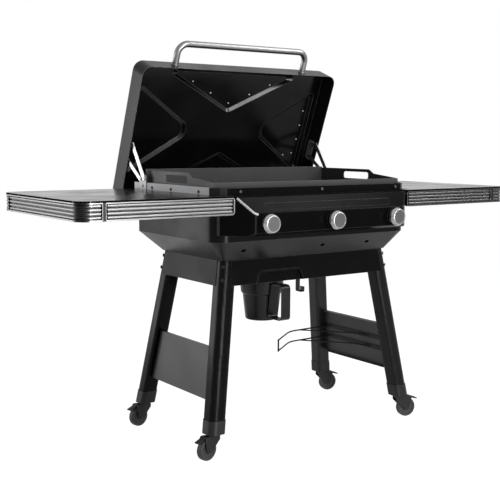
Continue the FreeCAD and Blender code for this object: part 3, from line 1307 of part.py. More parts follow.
hood = new_body("lid_shell")
half = "lid_width / 2"
block = pad(hood, new_sketch(hood, "XY_Plane", "0",
                             [rectangle(f"0 - {half}", half, "0", "lid_length")]), "lid_height")
upright = fillet(hood, block, "lid_round", lambda edge: runs_along(edge, Z_AXIS))
high = number("lid_height")
softened = fillet(hood, upright, "lid_edge_round",
                  lambda edge: all(abs(v.Z - high) < 1e-6 for v in edge.Vertexes))
hollow(hood, softened, "lid_wall", lambda face: faces(face, V(0, 0, -1)))
keep("lid_shell", open_lid(hood))

POCKETS = {
    "front": [("0 - 335", "22", "14"), ("0", "193", "26"), ("335", "22", "14")],
    "back": [("0 - 318", "526", "14"), ("318", "526", "14"), ("0", "364", "26")],
    "left": [("0 - 422", "86", "14"), ("0 - 422", "456", "14"), ("0 - 143", "270", "46")],
    "right": [("422", "86", "14"), ("143", "270", "46"), ("422", "456", "14")],
}


def drawn_in(corners, inset):
    """A triangle's corners with its sides moved in, and its corners rounded less."""
    points = [V(number(c[0]), number(c[1]), 0) for c in corners]
    moved = []
    for i, (x, y, radius) in enumerate(corners):
        before = (points[i - 1] - points[i]).normalize()
        after = (points[(i + 1) % 3] - points[i]).normalize()
        half = before.getAngle(after) / 2
        step = (before + after).normalize() * (1 / math.sin(half))
        moved.append((f"{x} + ({step.x}) * ({inset})", f"{y} + ({step.y}) * ({inset})",
                      f"max(({radius}) - 0.6 * ({inset}); 5)"))
    return moved


def pressed_sheet(name, shrink, low, high):
    """The panel's block with its four sloping pockets pressed in."""
    block = new_body(name + "_block")
    half = f"(lid_inner_x - lid_edge_round - {shrink})"
    outline = rectangle(f"0 - {half}", half, f"lid_edge_round + 2 + {shrink}",
                        f"lid_length - lid_edge_round - 2 - {shrink}", f"30 - {shrink}")
    pad(block, new_sketch(block, "XY_Plane", low, [outline]), f"({high}) - ({low})")
    wells = []
    for side, corners in POCKETS.items():
        wells.append(loft(f"{name}_{side}", drawn_in(corners, f"0 - {shrink} * 1.2"), low,
                          drawn_in(corners, f"pocket_slope - {shrink} * 1.2"),
                          f"web_depth + pocket_depth + {shrink}"))
    return cut(name, block, fuse(name + "_wells", wells))


outer_sheet = pressed_sheet("panel_outer", "0", "web_depth", "lid_height - lid_wall")
inner_sheet = pressed_sheet("panel_inner", "web_wall", "web_depth + web_wall",
                            "lid_height - lid_wall + 2")
keep("lid_panel", open_lid(cut("lid_panel", outer_sheet, inner_sheet)))

handle = bent_tube("lid_handle_tube", "XY_Plane", "handle_seat_d",
                   [("0 - handle_half", "0"),
                    ("0 - handle_half", "0 - handle_reach", "handle_round"),
                    ("handle_half", "0 - handle_reach", "handle_round"),
                    ("handle_half", "0")], "handle_radius", "handle_wall")
roses = [rod(f"handle_rose_{i}", Y_AXIS, "15", (f"{i} * handle_half", "0 - 3",
                                                "handle_seat_d"), "3") for i in (-1, 1)]
keep("lid_handle", open_lid(fuse("lid_handle", [handle] + roses)))


# Lid links: brackets on the rails, long and short arms, plates in the lid

def bar_link(name, sign, low, thick, points, width, bore):
    """A flat bar with round ends through two or more points, with a hole at two."""
    pieces, holes = [], []
    low_x, high_x = mirrored(sign, low, f"{low} + {thick}")
    for i, (y, z) in enumerate(points):
        pieces.append(rod(f"{name}_end_{i}", X_AXIS, f"{width} / 2", (low_x, y, z), thick))
        if i in (0, len(points) - 1):
            holes.append(rod(f"{name}_hole_{i}", X_AXIS, bore, (f"{low_x} - 1", y, z),
                             f"{thick} + 2"))
    for i in range(len(points) - 1):
        (y1, z1), (y2, z2) = points[i], points[i + 1]
        bar = doc.addObject("Part::Box", f"{name}_bar_{i}")
        bind(bar, "Length", thick)
        bind(bar, "Width", f"sqrt(pow(({y2}) - ({y1}); 2) + pow(({z2}) - ({z1}); 2))")
        bind(bar, "Height", width)
        angle = f"atan2(({z2}) - ({z1}); ({y2}) - ({y1}))"
        place(bar, low_x, f"{y1} + sin({angle}) * {width} / 2",
              f"{z1} - cos({angle}) * {width} / 2", X_AXIS, angle)
        pieces.append(bar)
    return cut(name, fuse(name + "_solid", pieces), fuse(name + "_holes", holes))


def stud(name, sign, low, length, y, z, radius="pin_radius"):
    low_x, high_x = mirrored(sign, low, f"{low} + {length}")
    return rod(name, X_AXIS, radius, (low_x, y, z), length)


mounts = []
for side, sign in SIDES.items():
    low_x, high_x = mirrored(sign, "bracket_x", "bracket_x + bracket_thick")
    plate = new_body("hinge_plate_" + side)
    outline = [("long_base_y - 18", "body_high_z + 4", "4"),
               ("short_base_y + 16", "body_high_z + 4", "4"),
               ("short_base_y + 11", "short_base_z + 13", "9"),
               ("long_base_y - 13", "long_base_z + 13", "9")]
    pad(plate, new_sketch(plate, "YZ_Plane", low_x, [outline]), "bracket_thick")
    reach_long = "bracket_thick + arm_gap + arm_thick"
    reach_short = f"{reach_long} + arm_gap + short_arm_thick"
    mounts.append(fuse("hinge_mount_" + side, [
        plate,
        stud("long_base_stud_" + side, sign, "bracket_x", reach_long, "long_base_y",
             "long_base_z"),
        stud("short_base_stud_" + side, sign, "bracket_x", reach_short, "short_base_y",
             "short_base_z"),
        stud("bracket_bolt_" + side, sign, "bracket_x", "bracket_thick + 3",
             "(long_base_y + short_base_y) / 2", "body_high_z + 16", "5")]))
    elbow = ("long_lid_y - elbow_back", "long_lid_z + 2")
    keep("link_long_" + side, bar_link(
        "link_long_" + side, sign, "long_arm_x", "arm_thick",
        [("long_base_y", "long_base_z"), elbow, ("long_lid_y", "long_lid_z")],
        "arm_width", "pin_radius + pin_fit"))
    short = bar_link("link_short_bar_" + side, sign, "short_arm_x", "short_arm_thick",
                     [("short_base_y", "short_base_z"), ("short_lid_y", "short_lid_z")],
                     "15", "pin_radius + pin_fit")
    keep("link_short_" + side, short)
keep("hinge_brackets", group("hinge_brackets", mounts))

plates = []
for side, sign in SIDES.items():
    low_x, high_x = mirrored(sign, "lid_plate_x", "lid_plate_x + bracket_thick")
    plate = new_body("lid_plate_" + side)
    outline = [("300", "24", "8"), ("384", "24", "8"), ("384", "62", "12"), ("300", "62", "12")]
    pad(plate, new_sketch(plate, "YZ_Plane", low_x, [outline]), "bracket_thick")
    spacer_low = "lid_plate_x + bracket_thick"
    spacer = "lid_inner_x - lid_plate_x - bracket_thick"
    pieces = [plate,
              stud("lid_stud_" + side, sign, "long_arm_x", "lid_plate_x - long_arm_x + 1",
                   "long_pivot_s", "long_pivot_d"),
              stud("lid_spacer_front_" + side, sign, spacer_low, spacer, "310", "50", "8"),
              stud("lid_spacer_back_" + side, sign, spacer_low, spacer, "374", "50", "8")]
    plates.append(open_lid(fuse("lid_hinge_plate_" + side, pieces)))
keep("lid_hinge_plates", group("lid_hinge_plates", plates))


# Check every object, then write one file for each node

doc.recompute()
for thing in doc.Objects:
    state = [str(word) for word in thing.State]
    if "Invalid" in state or "Error" in state:
        raise SystemExit(f"{thing.Name} failed: {state}")
    shape = getattr(thing, "Shape", None)
    if shape is None or thing.isDerivedFrom("Sketcher::SketchObject"):
        continue
    if thing.isDerivedFrom("App::OriginFeature"):
        continue
    if shape.isNull() or not shape.isValid():
        raise SystemExit(f"{thing.Name} has no sound shape")
os.makedirs("parts", exist_ok=True)
for name in os.listdir("parts"):
    if name.endswith(".step") and name[:-5] not in parts:
        os.remove(os.path.join("parts", name))
for name, thing in parts.items():
    thing.Shape.exportStep(f"parts/{name}.step")
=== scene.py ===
import json
import math

import bmesh
import bpy
from mathutils import Matrix, Vector


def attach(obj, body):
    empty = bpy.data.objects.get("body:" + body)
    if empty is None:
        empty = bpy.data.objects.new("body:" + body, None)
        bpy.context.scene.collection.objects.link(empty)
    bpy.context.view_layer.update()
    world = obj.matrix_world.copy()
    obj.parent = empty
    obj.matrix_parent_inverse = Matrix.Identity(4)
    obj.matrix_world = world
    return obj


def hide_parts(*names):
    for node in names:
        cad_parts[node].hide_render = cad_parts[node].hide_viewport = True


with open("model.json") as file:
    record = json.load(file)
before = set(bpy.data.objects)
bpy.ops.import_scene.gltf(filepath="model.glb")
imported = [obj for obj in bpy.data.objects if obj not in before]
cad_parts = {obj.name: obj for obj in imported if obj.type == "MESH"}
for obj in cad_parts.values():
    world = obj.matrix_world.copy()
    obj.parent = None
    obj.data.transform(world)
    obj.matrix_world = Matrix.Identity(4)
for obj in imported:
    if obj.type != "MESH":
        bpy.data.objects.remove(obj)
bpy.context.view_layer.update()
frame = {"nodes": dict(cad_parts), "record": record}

# Camera: fitted to the photograph, in the frame of the model

CAMERA_PLACE = (-2.1494, -2.8981, 1.0832)
CAMERA_YAW, CAMERA_PITCH, CAMERA_ROLL = 35.47, -6.65, 0.3
FOCAL_PIXELS, PICTURE_PIXELS = 940.03, 500
SENSOR_WIDTH = 36
FAR_CLIP = 50


def aim_camera():
    lens = bpy.data.cameras.new("camera")
    lens.sensor_width = SENSOR_WIDTH
    lens.lens = FOCAL_PIXELS / PICTURE_PIXELS * SENSOR_WIDTH
    lens.clip_end = FAR_CLIP
    camera = bpy.data.objects.new("camera", lens)
    bpy.context.scene.collection.objects.link(camera)
    yaw, pitch, roll = (math.radians(angle)
                        for angle in (CAMERA_YAW, CAMERA_PITCH, CAMERA_ROLL))
    forward = Vector((math.sin(yaw) * math.cos(pitch), math.cos(yaw) * math.cos(pitch),
                      math.sin(pitch)))
    right = forward.cross(Vector((0, 0, 1))).normalized()
    up = right.cross(forward)
    tilted_right = right * math.cos(roll) + up * math.sin(roll)
    tilted_up = up * math.cos(roll) - right * math.sin(roll)
    turn = Matrix((tilted_right, tilted_up, -forward)).transposed().to_4x4()
    camera.matrix_world = Matrix.Translation(CAMERA_PLACE) @ turn
    bpy.context.scene.camera = camera


# Short forms for the nodes of a tree

FLOAT, VECTOR, COLOUR = "NodeSocketFloat", "NodeSocketVector", "NodeSocketColor"
EDGE_SAMPLES, GROOVE_SAMPLES = 4, 8


def feed(tree, socket, value):
    """Join an output to the socket, or set the socket to a plain value."""
    if isinstance(value, bpy.types.NodeSocket):
        tree.links.new(value, socket)
    else:
        socket.default_value = value


def maths(tree, operation, first, second=None, clamp=False):
    node = tree.nodes.new("ShaderNodeMath")
    node.operation = operation
    node.use_clamp = clamp
    feed(tree, node.inputs[0], first)
    if second is not None:
        feed(tree, node.inputs[1], second)
    return node.outputs["Value"]


def ramped(tree, value, start, stop, low=0.0, high=1.0):
    """Low up to the start, high from the stop on, and even steps between."""
    node = tree.nodes.new("ShaderNodeMapRange")
    for label, amount in (("Value", value), ("From Min", start), ("From Max", stop),
                          ("To Min", low), ("To Max", high)):
        feed(tree, node.inputs[label], amount)
    return node.outputs["Result"]


def mixed(tree, amount, first, second, blend="MIX"):
    node = tree.nodes.new("ShaderNodeMix")
    node.data_type = "RGBA"
    node.blend_type = blend
    feed(tree, node.inputs["Factor"], amount)
    feed(tree, node.inputs["A"], first)
    feed(tree, node.inputs["B"], second)
    return node.outputs["Result"]


def brightened(tree, colour, level):
    node = tree.nodes.new("ShaderNodeHueSaturation")
    feed(tree, node.inputs["Value"], level)
    feed(tree, node.inputs["Color"], colour)
    return node.outputs["Color"]


def noise(tree, place, scale, detail):
    node = tree.nodes.new("ShaderNodeTexNoise")
    feed(tree, node.inputs["Scale"], scale)
    feed(tree, node.inputs["Detail"], detail)
    feed(tree, node.inputs["Vector"], place)
    return node.outputs["Fac"]


def soft_edges(tree, radius):
    """The surface's normal, rounded over at the edges."""
    node = tree.nodes.new("ShaderNodeBevel")
    node.samples = EDGE_SAMPLES
    feed(tree, node.inputs["Radius"], radius)
    return node.outputs["Normal"]


def bumped(tree, height, strength, distance, normal):
    node = tree.nodes.new("ShaderNodeBump")
    feed(tree, node.inputs["Distance"], distance)
    feed(tree, node.inputs["Strength"], strength)
    feed(tree, node.inputs["Height"], height)
    feed(tree, node.inputs["Normal"], normal)
    return node.outputs["Normal"]


# Light: a pale room with large soft lamps

WHITE = (1, 1, 1, 1)
SEEN_LEVEL, SOFT_LEVEL = 1.0, 0.3
FLOOR_HALF = 30
FLOOR_TONE = (0.95, 0.95, 0.95, 1)
FLOOR_ROUGHNESS, FLOOR_GLOSS = 0.8, 0.1
FLOOR_GLOW, FLOOR_SHARE = 1.12, 0.85

# Each lamp's name, place, the point it faces, its two sizes and its power in watts
LAMPS = [
    ("side box", (-3.0, 2.5, 0.95), (-0.3, 0, 0.8), (2.2, 1.6), 60),
    ("key", (0.0, -3.8, 0.9), (-0.3, 0, 0.6), (0.4, 1.7), 150),
    ("front box", (0.3, -3.5, 2.85), (-0.2, 0, 1.1), (1.6, 0.7), 75),
    ("shelf box", (2.66, -2.15, 2.7), (0.7, -0.1, 0.9), (0.9, 0.9), 55),
    ("top box", (1.6, -1.0, 3.2), (0, -0.2, 0.9), (1.4, 1.0), 28),
]


def directly_seen(tree):
    """One for a ray from the camera, from gloss or through glass."""
    ray = tree.nodes.new("ShaderNodeLightPath")
    mirrored = maths(tree, "MAXIMUM", ray.outputs["Is Camera Ray"],
                     ray.outputs["Is Glossy Ray"])
    return maths(tree, "MAXIMUM", mirrored, ray.outputs["Is Transmission Ray"])


def add_background(tree, strength):
    node = tree.nodes.new("ShaderNodeBackground")
    node.inputs["Color"].default_value = WHITE
    node.inputs["Strength"].default_value = strength
    return node.outputs["Background"]


def set_room():
    """White to the eye, to gloss and to glass; a softer level for plain surfaces."""
    bpy.context.scene.view_settings.view_transform = "Standard"
    world = bpy.data.worlds.new("room")
    bpy.context.scene.world = world
    world.use_nodes = True
    tree = world.node_tree
    tree.nodes.clear()
    output = tree.nodes.new("ShaderNodeOutputWorld")
    mix = tree.nodes.new("ShaderNodeMixShader")
    feed(tree, mix.inputs["Fac"], directly_seen(tree))
    feed(tree, mix.inputs[1], add_background(tree, SOFT_LEVEL))
    feed(tree, mix.inputs[2], add_background(tree, SEEN_LEVEL))
    feed(tree, output.inputs["Surface"], mix.outputs["Shader"])


def add_lamp(name, place, target, size, power):
    light = bpy.data.lights.new(name, "AREA")
    light.shape = "RECTANGLE"
    light.size, light.size_y = size
    light.energy = power
    lamp = bpy.data.objects.new(name, light)
    bpy.context.scene.collection.objects.link(lamp)
    aim = Vector(target) - Vector(place)
    lamp.location = place
    lamp.rotation_euler = aim.to_track_quat("-Z", "Y").to_euler()


def add_floor():
    """A pale floor that reads as white and still keeps the object's shadow."""
    mesh = bpy.data.meshes.new("floor")
    corners = [(x * FLOOR_HALF, y * FLOOR_HALF, 0)
               for x, y in ((-1, -1), (1, -1), (1, 1), (-1, 1))]
    mesh.from_pydata(corners, [], [(0, 1, 2, 3)])
    floor = bpy.data.objects.new("floor", mesh)
    bpy.context.scene.collection.objects.link(floor)
    material = bpy.data.materials.new("floor")
    material.use_nodes = True
    tree = material.node_tree
    shader = tree.nodes["Principled BSDF"]
    shader.inputs["Base Color"].default_value = FLOOR_TONE
    shader.inputs["Roughness"].default_value = FLOOR_ROUGHNESS
    shader.inputs["Specular IOR Level"].default_value = FLOOR_GLOSS
    pale = tree.nodes.new("ShaderNodeEmission")
    pale.inputs["Strength"].default_value = FLOOR_GLOW
    mix = tree.nodes.new("ShaderNodeMixShader")
    feed(tree, mix.inputs["Fac"], maths(tree, "MULTIPLY", directly_seen(tree), FLOOR_SHARE))
    feed(tree, mix.inputs[1], shader.outputs["BSDF"])
    feed(tree, mix.inputs[2], pale.outputs["Emission"])
    feed(tree, tree.nodes["Material Output"].inputs["Surface"], mix.outputs["Shader"])
    mesh.materials.append(material)


# Shared effects, as node groups

GRAIN_RISE, STREAK_RISE = 0.0004, 0.0003
GROOVE_REACH = 0.012
# How much deeper the painted shade is on the bends than on the end faces
BEND_FALL = 3.0


def start_group(name, inputs, outputs):
    group = bpy.data.node_groups.new(name, "ShaderNodeTree")
    for label, kind, value in inputs:
        socket = group.interface.new_socket(label, in_out="INPUT", socket_type=kind)
        socket.default_value = value
    for label, kind in outputs:
        group.interface.new_socket(label, in_out="OUTPUT", socket_type=kind)
    entry = group.nodes.new("NodeGroupInput")
    leave = group.nodes.new("NodeGroupOutput")
    return group, entry, leave


def edge_wear_and_highlight(tree, colour, edge_normal, place, wear_and_highlight):
    """The colour, paler along the edges, in broken patches: partly wear, partly a painted
    highlight.
    """
    flat = tree.nodes.new("ShaderNodeNewGeometry")
    facing = tree.nodes.new("ShaderNodeVectorMath")
    facing.operation = "DOT_PRODUCT"
    feed(tree, facing.inputs[0], flat.outputs["Normal"])
    feed(tree, facing.inputs[1], edge_normal)
    near = ramped(tree, facing.outputs["Value"], start=0.998, stop=0.93)
    patches = noise(tree, place, scale=60, detail=4)
    broken = ramped(tree, patches, start=0.25, stop=0.6, low=0.35)
    return mixed(tree, maths(tree, "MULTIPLY", near, broken), colour, wear_and_highlight)


def painted_groove_shade(tree, colour, amount):
    """Painted shade: the colour, darker where the surface lies deep between its neighbours.
    """
    depth = tree.nodes.new("ShaderNodeAmbientOcclusion")
    depth.samples = GROOVE_SAMPLES
    depth.inputs["Distance"].default_value = GROOVE_REACH
    open_share = ramped(tree, depth.outputs["AO"], start=0.45, stop=0.95, low=0.06)
    return mixed(tree, amount, colour, open_share, blend="MULTIPLY")


def end_shaded(tree, colour, normal, level):
    """Painted shade: the colour, turned down to a level on the faces along X, and more on the
    bends.
    """
    facing = tree.nodes.new("ShaderNodeSeparateXYZ")
    feed(tree, facing.inputs["Vector"], normal)
    along_x, along_y = facing.outputs["X"], facing.outputs["Y"]
    ends = ramped(tree, maths(tree, "ABSOLUTE", along_x), start=0.3, stop=0.8, low=1.0,
                  high=level)
    slant = maths(tree, "ABSOLUTE", maths(tree, "MULTIPLY", along_x, along_y))
    bends = ramped(tree, slant, start=0.05, stop=0.40, low=1.0,
                   high=maths(tree, "POWER", level, BEND_FALL))
    return mixed(tree, 1.0, colour, maths(tree, "MULTIPLY", ends, bends), blend="MULTIPLY")


def grain_group():
    """Fine grain over a softened edge, with slow changes of roughness and tone, and edges
    paler, partly from wear and partly as a painted highlight.
    """
    tree, entry, leave = start_group(
        "Grain",
        [("Colour", COLOUR, (0.1, 0.1, 0.1, 1)), ("Roughness", FLOAT, 0.4),
         ("Grain size", FLOAT, 900.0), ("Grain depth", FLOAT, 0.1),
         ("Edge", FLOAT, 0.0012), ("Cloud", FLOAT, 0.15),
         ("Wear and highlight", COLOUR, (0.05, 0.05, 0.05, 1))],
        [("Colour", COLOUR), ("Roughness", FLOAT), ("Normal", VECTOR)])
    given = entry.outputs
    place = tree.nodes.new("ShaderNodeTexCoord").outputs["Object"]
    fine = noise(tree, place, given["Grain size"], detail=3)
    slow = noise(tree, place, scale=7, detail=5)
    edge_normal = soft_edges(tree, given["Edge"])
    shift = ramped(tree, slow, start=0.3, stop=0.7, low=-0.5, high=0.5)
    amount = maths(tree, "MULTIPLY", shift, given["Cloud"])
    tone = brightened(tree, given["Colour"], maths(tree, "ADD", amount, 1))
    feed(tree, leave.inputs["Colour"], edge_wear_and_highlight(tree, tone, edge_normal, place, given["Wear and highlight"]))
    feed(tree, leave.inputs["Roughness"],
         maths(tree, "ADD", given["Roughness"], amount, clamp=True))
    feed(tree, leave.inputs["Normal"],
         bumped(tree, fine, given["Grain depth"], distance=GRAIN_RISE, normal=edge_normal))
    return tree


def brush_group():
    """Brushed metal: streaks drawn out along one direction of the model, with painted shade
    on the end faces, on the bends and in the grooves.
    """
    tree, entry, leave = start_group(
        "Brushed",
        [("Colour", COLOUR, (0.6, 0.6, 0.6, 1)), ("Roughness", FLOAT, 0.3),
         ("Stretch", VECTOR, (1, 60, 60)), ("Depth", FLOAT, 0.1), ("Edge", FLOAT, 0.0008),
         ("Groove shade", FLOAT, 0.0), ("Side", FLOAT, 1.0), ("Wear and highlight", COLOUR, (0.6, 0.6, 0.6, 1))],
        [("Colour", COLOUR), ("Roughness", FLOAT), ("Normal", VECTOR)])
    given = entry.outputs
    spot = tree.nodes.new("ShaderNodeTexCoord")
    place = spot.outputs["Object"]
    drawn = tree.nodes.new("ShaderNodeVectorMath")
    drawn.operation = "MULTIPLY"
    feed(tree, drawn.inputs[0], place)
    feed(tree, drawn.inputs[1], given["Stretch"])
    streak = noise(tree, drawn.outputs["Vector"], scale=20, detail=6)
    edge_normal = soft_edges(tree, given["Edge"])
    low, high = (maths(tree, "MULTIPLY", given["Roughness"], share) for share in (0.75, 1.25))
    level = ramped(tree, streak, start=0.25, stop=0.75, low=0.88, high=1.12)
    tone = brightened(tree, given["Colour"], level)
    tone = end_shaded(tree, tone, spot.outputs["Normal"], given["Side"])
    tone = painted_groove_shade(tree, tone, given["Groove shade"])
    feed(tree, leave.inputs["Colour"], edge_wear_and_highlight(tree, tone, edge_normal, place, given["Wear and highlight"]))
    feed(tree, leave.inputs["Roughness"],
         ramped(tree, streak, start=0.3, stop=0.7, low=low, high=high))
    feed(tree, leave.inputs["Normal"],
         bumped(tree, streak, given["Depth"], distance=STREAK_RISE, normal=edge_normal))
    return tree


GRAIN = grain_group()
BRUSHED = brush_group()


# Finishes of the frame's nodes and of the pieces added to them

def finish_material(name, group, settings, metallic=0.0, specular=0.5):
    """A material whose shader takes colour, roughness and normal from a group."""
    material = bpy.data.materials.new(name)
    material.use_nodes = True
    tree = material.node_tree
    shader = tree.nodes["Principled BSDF"]
    effect = tree.nodes.new("ShaderNodeGroup")
    effect.node_tree = group
    for label, value in settings.items():
        effect.inputs[label].default_value = value
    feed(tree, shader.inputs["Base Color"], effect.outputs["Colour"])
    feed(tree, shader.inputs["Roughness"], effect.outputs["Roughness"])
    feed(tree, shader.inputs["Normal"], effect.outputs["Normal"])
    shader.inputs["Metallic"].default_value = metallic
    shader.inputs["Specular IOR Level"].default_value = specular
    return material


# How much paler bare metal is at its edges: partly wear, partly a painted highlight
WEAR_AND_HIGHLIGHT_LIFT = 1.5


def grey(value, blue=1.0):
    return (value, value, value * blue, 1)


def coated(name, tone, roughness, specular=0.12, size=1100.0, depth=0.12, edge=0.0012,
           wear_and_highlight=0.03):
    """Paint, rubber or oiled steel: a tone, with its fine grain and its edges paler, partly
    from wear and partly as a painted highlight.
    """
    settings = {"Colour": grey(tone, blue=1.03), "Roughness": roughness, "Grain size": size,
                "Grain depth": depth, "Edge": edge, "Cloud": 0.12, "Wear and highlight": grey(wear_and_highlight)}
    return finish_material(name, GRAIN, settings, specular=specular)


def brushed(name, tone, roughness, stretch, groove_shade=0.0, side=1.0):
    """Bare or plated metal, with streaks that run where the stretch is least, and painted
    shade in its grooves and on its end faces and bends, as much as the groove and side
    settings give.
    """
    settings = {"Colour": grey(tone, blue=1.01), "Roughness": roughness, "Stretch": stretch,
                "Depth": 0.12, "Edge": 0.0008, "Groove shade": groove_shade, "Side": side,
                "Wear and highlight": grey(tone * WEAR_AND_HIGHLIGHT_LIFT)}
    return finish_material(name, BRUSHED, settings, metallic=1.0)


ALONG_X, ALONG_Y = (1, 60, 60), (60, 1, 60)
EVEN_FINE, EVEN_COARSE, EVEN_PLATED = (60, 60, 60), (20, 20, 20), (10, 10, 10)

# After the name: tone, roughness and, for paints, the level of the gloss
# The paler edges of each finish are partly wear and partly a painted highlight
LOOKS = {
    "frame_paint": coated("frame_paint", 0.0012, 0.2, 0.06, edge=0.014, wear_and_highlight=0.004),
    "panel_paint": coated("panel_paint", 0.012, 0.45, 0.28),
    "box_paint": coated("box_paint", 0.0018, 0.34, 0.02, edge=0.002),
    "fascia_paint": coated("fascia_paint", 0.0012, 0.26, 0.02, edge=0.002, wear_and_highlight=0.05),
    "rail_paint": coated("rail_paint", 0.6, 0.4, wear_and_highlight=0.7),
    "shelf_paint": coated("shelf_paint", 0.006, 0.22, 0.16, depth=0.08, wear_and_highlight=0.06),
    "lid_paint": coated("lid_paint", 0.005, 0.32, 0.12, edge=0.002, wear_and_highlight=0.2),
    "liner_paint": coated("liner_paint", 0.0010, 0.2, 0.22, edge=0.003, wear_and_highlight=0.05),
    "handle_steel": brushed("handle_steel", 0.20, 0.34, ALONG_Y),
    "knob_silver": brushed("knob_silver", 0.34, 0.28, EVEN_FINE, groove_shade=1.0),
    "dark_bezel": coated("dark_bezel", 0.004, 0.25, 0.06),
    "zinc": brushed("zinc", 0.50, 0.42, EVEN_PLATED),
    "tube_steel": brushed("tube_steel", 0.3, 0.4, ALONG_Y),
    "bucket_steel": coated("bucket_steel", 0.0025, 0.32, 0.2),
    "wire_black": coated("wire_black", 0.004, 0.3, wear_and_highlight=0.06),
    "black_bolt": coated("black_bolt", 0.008, 0.35),
    "black_plastic": coated("black_plastic", 0.006, 0.45, 0.16, size=700.0, depth=0.2),
    "wheel_rubber": coated("wheel_rubber", 0.014, 0.6, 0.3),
    "griddle_steel": coated("griddle_steel", 0.028, 0.4, 0.16, wear_and_highlight=0.16),
    "brass_part": brushed("brass_part", 0.5, 0.3, EVEN_COARSE),
}
OWN_LOOKS = {
    "front_apron": coated("apron_front_paint", 0.0015, 0.34, 0.03, edge=0.002, wear_and_highlight=0.04),
    # A lighter copy of the frame's paint for the side and rear aprons: painted light on faces
    # lit from the left
    "side_rear_aprons": coated("apron_side_painted_light", 0.006, 0.42, 0.08),
    "lower_tub": coated("tub_paint", 0.003, 0.30, 0.23, edge=0.002),
    "body_shell": coated("shell_paint", 0.002, 0.26, 0.06, edge=0.002),
    # Lighter copies of the frame's paint for the right legs: painted light, set leg by leg to
    # how the light falls
    "leg_front_right": coated("leg_near_painted_light", 0.003, 0.26, 0.09, edge=0.014, wear_and_highlight=0.01),
    "leg_rear_right": coated("leg_far_painted_light", 0.006, 0.26, 0.18, edge=0.014, wear_and_highlight=0.01),
    # Lit and shaded copies of one brushed trim: painted light on the left, painted shade on
    # the right
    "shelf_trim_left": brushed("trim_lit", 0.19, 0.30, ALONG_X, groove_shade=1.0, side=0.5),
    "shelf_trim_right": brushed("trim_shaded", 0.085, 0.32, ALONG_X, groove_shade=1.0, side=0.6),
    "rail_screws": coated("screw_black", 0.01, 0.4),
    # Shaded copies of the zinc for the right links: painted shade
    "link_long_right": brushed("link_shaded", 0.17, 0.4, EVEN_PLATED),
    "link_short_right": brushed("short_shaded", 0.17, 0.4, EVEN_PLATED),
    "hinge_brackets": brushed("bracket_zinc", 0.16, 0.42, EVEN_PLATED),
}
# Black for painted shade: the shadow gap round each shelf top and the grooves at the ribs'
# ends
PAINTED_SHADE_LOOK = coated("painted_shade_black", 0.0008, 0.6, 0.0, edge=0.0002, wear_and_highlight=0.001)
# A darker copy of the knob's metal for the faces: painted shade
KNOB_FACE_SHADE_LOOK = brushed("knob_face_shaded", 0.11, 0.34, EVEN_FINE)
# A pale grey for the left fascia bead: a painted highlight
BEAD_HIGHLIGHT_LOOK = coated("bead_painted_highlight", 0.22, 0.30, 0.4, wear_and_highlight=0.3)


def dress_frame():
    """Give each node of the frame its own finish, or else the one of its slot."""
    slots = {entry["node"]: entry["material_slot"] for entry in frame["record"]["subparts"]}
    for name, thing in frame["nodes"].items():
        material = OWN_LOOKS.get(name) or LOOKS[slots[name]]
        thing.data.materials.clear()
        thing.data.materials.append(material)


# Tools for the pieces added to the frame's solids

FORWARD = (0, -1, 0)
HALF_PI = math.pi / 2
SHARP_FROM = math.radians(35)
ON_AXIS = 1e-6
SCREW_SEAT = -0.0003
CURVE_STEPS, FLARE_STEPS = 6, 4
BEAD_SIDES, SCREW_SIDES, KNOB_SIDES = 10, 20, 64


def add_piece(name, shape, body, slot, look=None):
    """Make an object of the finished shape, dress it and let it ride on its body."""
    mesh = bpy.data.meshes.new(name)
    shape.normal_update()
    shape.to_mesh(mesh)
    shape.free()
    mesh.shade_smooth()
    mesh.set_sharp_from_angle(angle=SHARP_FROM)
    piece = bpy.data.objects.new(name, mesh)
    bpy.context.scene.collection.objects.link(piece)
    mesh.materials.append(look or LOOKS[slot])
    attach(piece, body)
    return piece


def standing(place, direction):
    """The setting that puts the origin at a place and +Z along a direction."""
    turn = Vector(direction).to_track_quat("Z", "Y").to_matrix().to_4x4()
    return Matrix.Translation(place) @ turn


def add_ring(shape, setting, radius, height, sides):
    """The corners of a ring about the setting's axis, or one corner on the axis."""
    if radius < ON_AXIS:
        return [shape.verts.new(setting @ Vector((0, 0, height)))]
    return [shape.verts.new(setting @ Vector((radius * math.cos(turn),
                                              radius * math.sin(turn), height)))
            for turn in (math.tau * i / sides for i in range(sides))]


def arc(centre, radius, first, last, steps):
    """Points of an arc in a plane, from one angle to another."""
    turns = (first + (last - first) * i / steps for i in range(steps + 1))
    return [(centre[0] + radius * math.cos(turn), centre[1] + radius * math.sin(turn))
            for turn in turns]


def add_lathe(shape, profile, place, direction, sides):
    """Turn a profile of (radius, height) points about its axis and set it in place."""
    setting = standing(place, direction)
    rings = [add_ring(shape, setting, radius, height, sides) for radius, height in profile]
    for low, high in zip(rings, rings[1:]):
        for near in range(sides):
            far = (near + 1) % sides
            if len(low) == 1:
                shape.faces.new((low[0], high[far], high[near]))
            elif len(high) == 1:
                shape.faces.new((low[near], low[far], high[0]))
            else:
                shape.faces.new((low[near], low[far], high[far], high[near]))


def add_bead(shape, path, radius):
    """A round bead along a path, closed at both ends."""
    rings, sides = [], BEAD_SIDES
    for i, point in enumerate(path):
        ahead = path[min(i + 1, len(path) - 1)] - path[max(i - 1, 0)]
        rings.append(add_ring(shape, standing(point, ahead.normalized()), radius, 0, sides))
    for low, high in zip(rings, rings[1:]):
        start = min(range(sides), key=lambda k: (high[k].co - low[0].co).length)
        for k in range(sides):
            shape.faces.new((low[k], low[(k + 1) % sides], high[(start + k + 1) % sides],
                             high[(start + k) % sides]))
    shape.faces.new(rings[0][::-1])
    shape.faces.new(rings[-1])


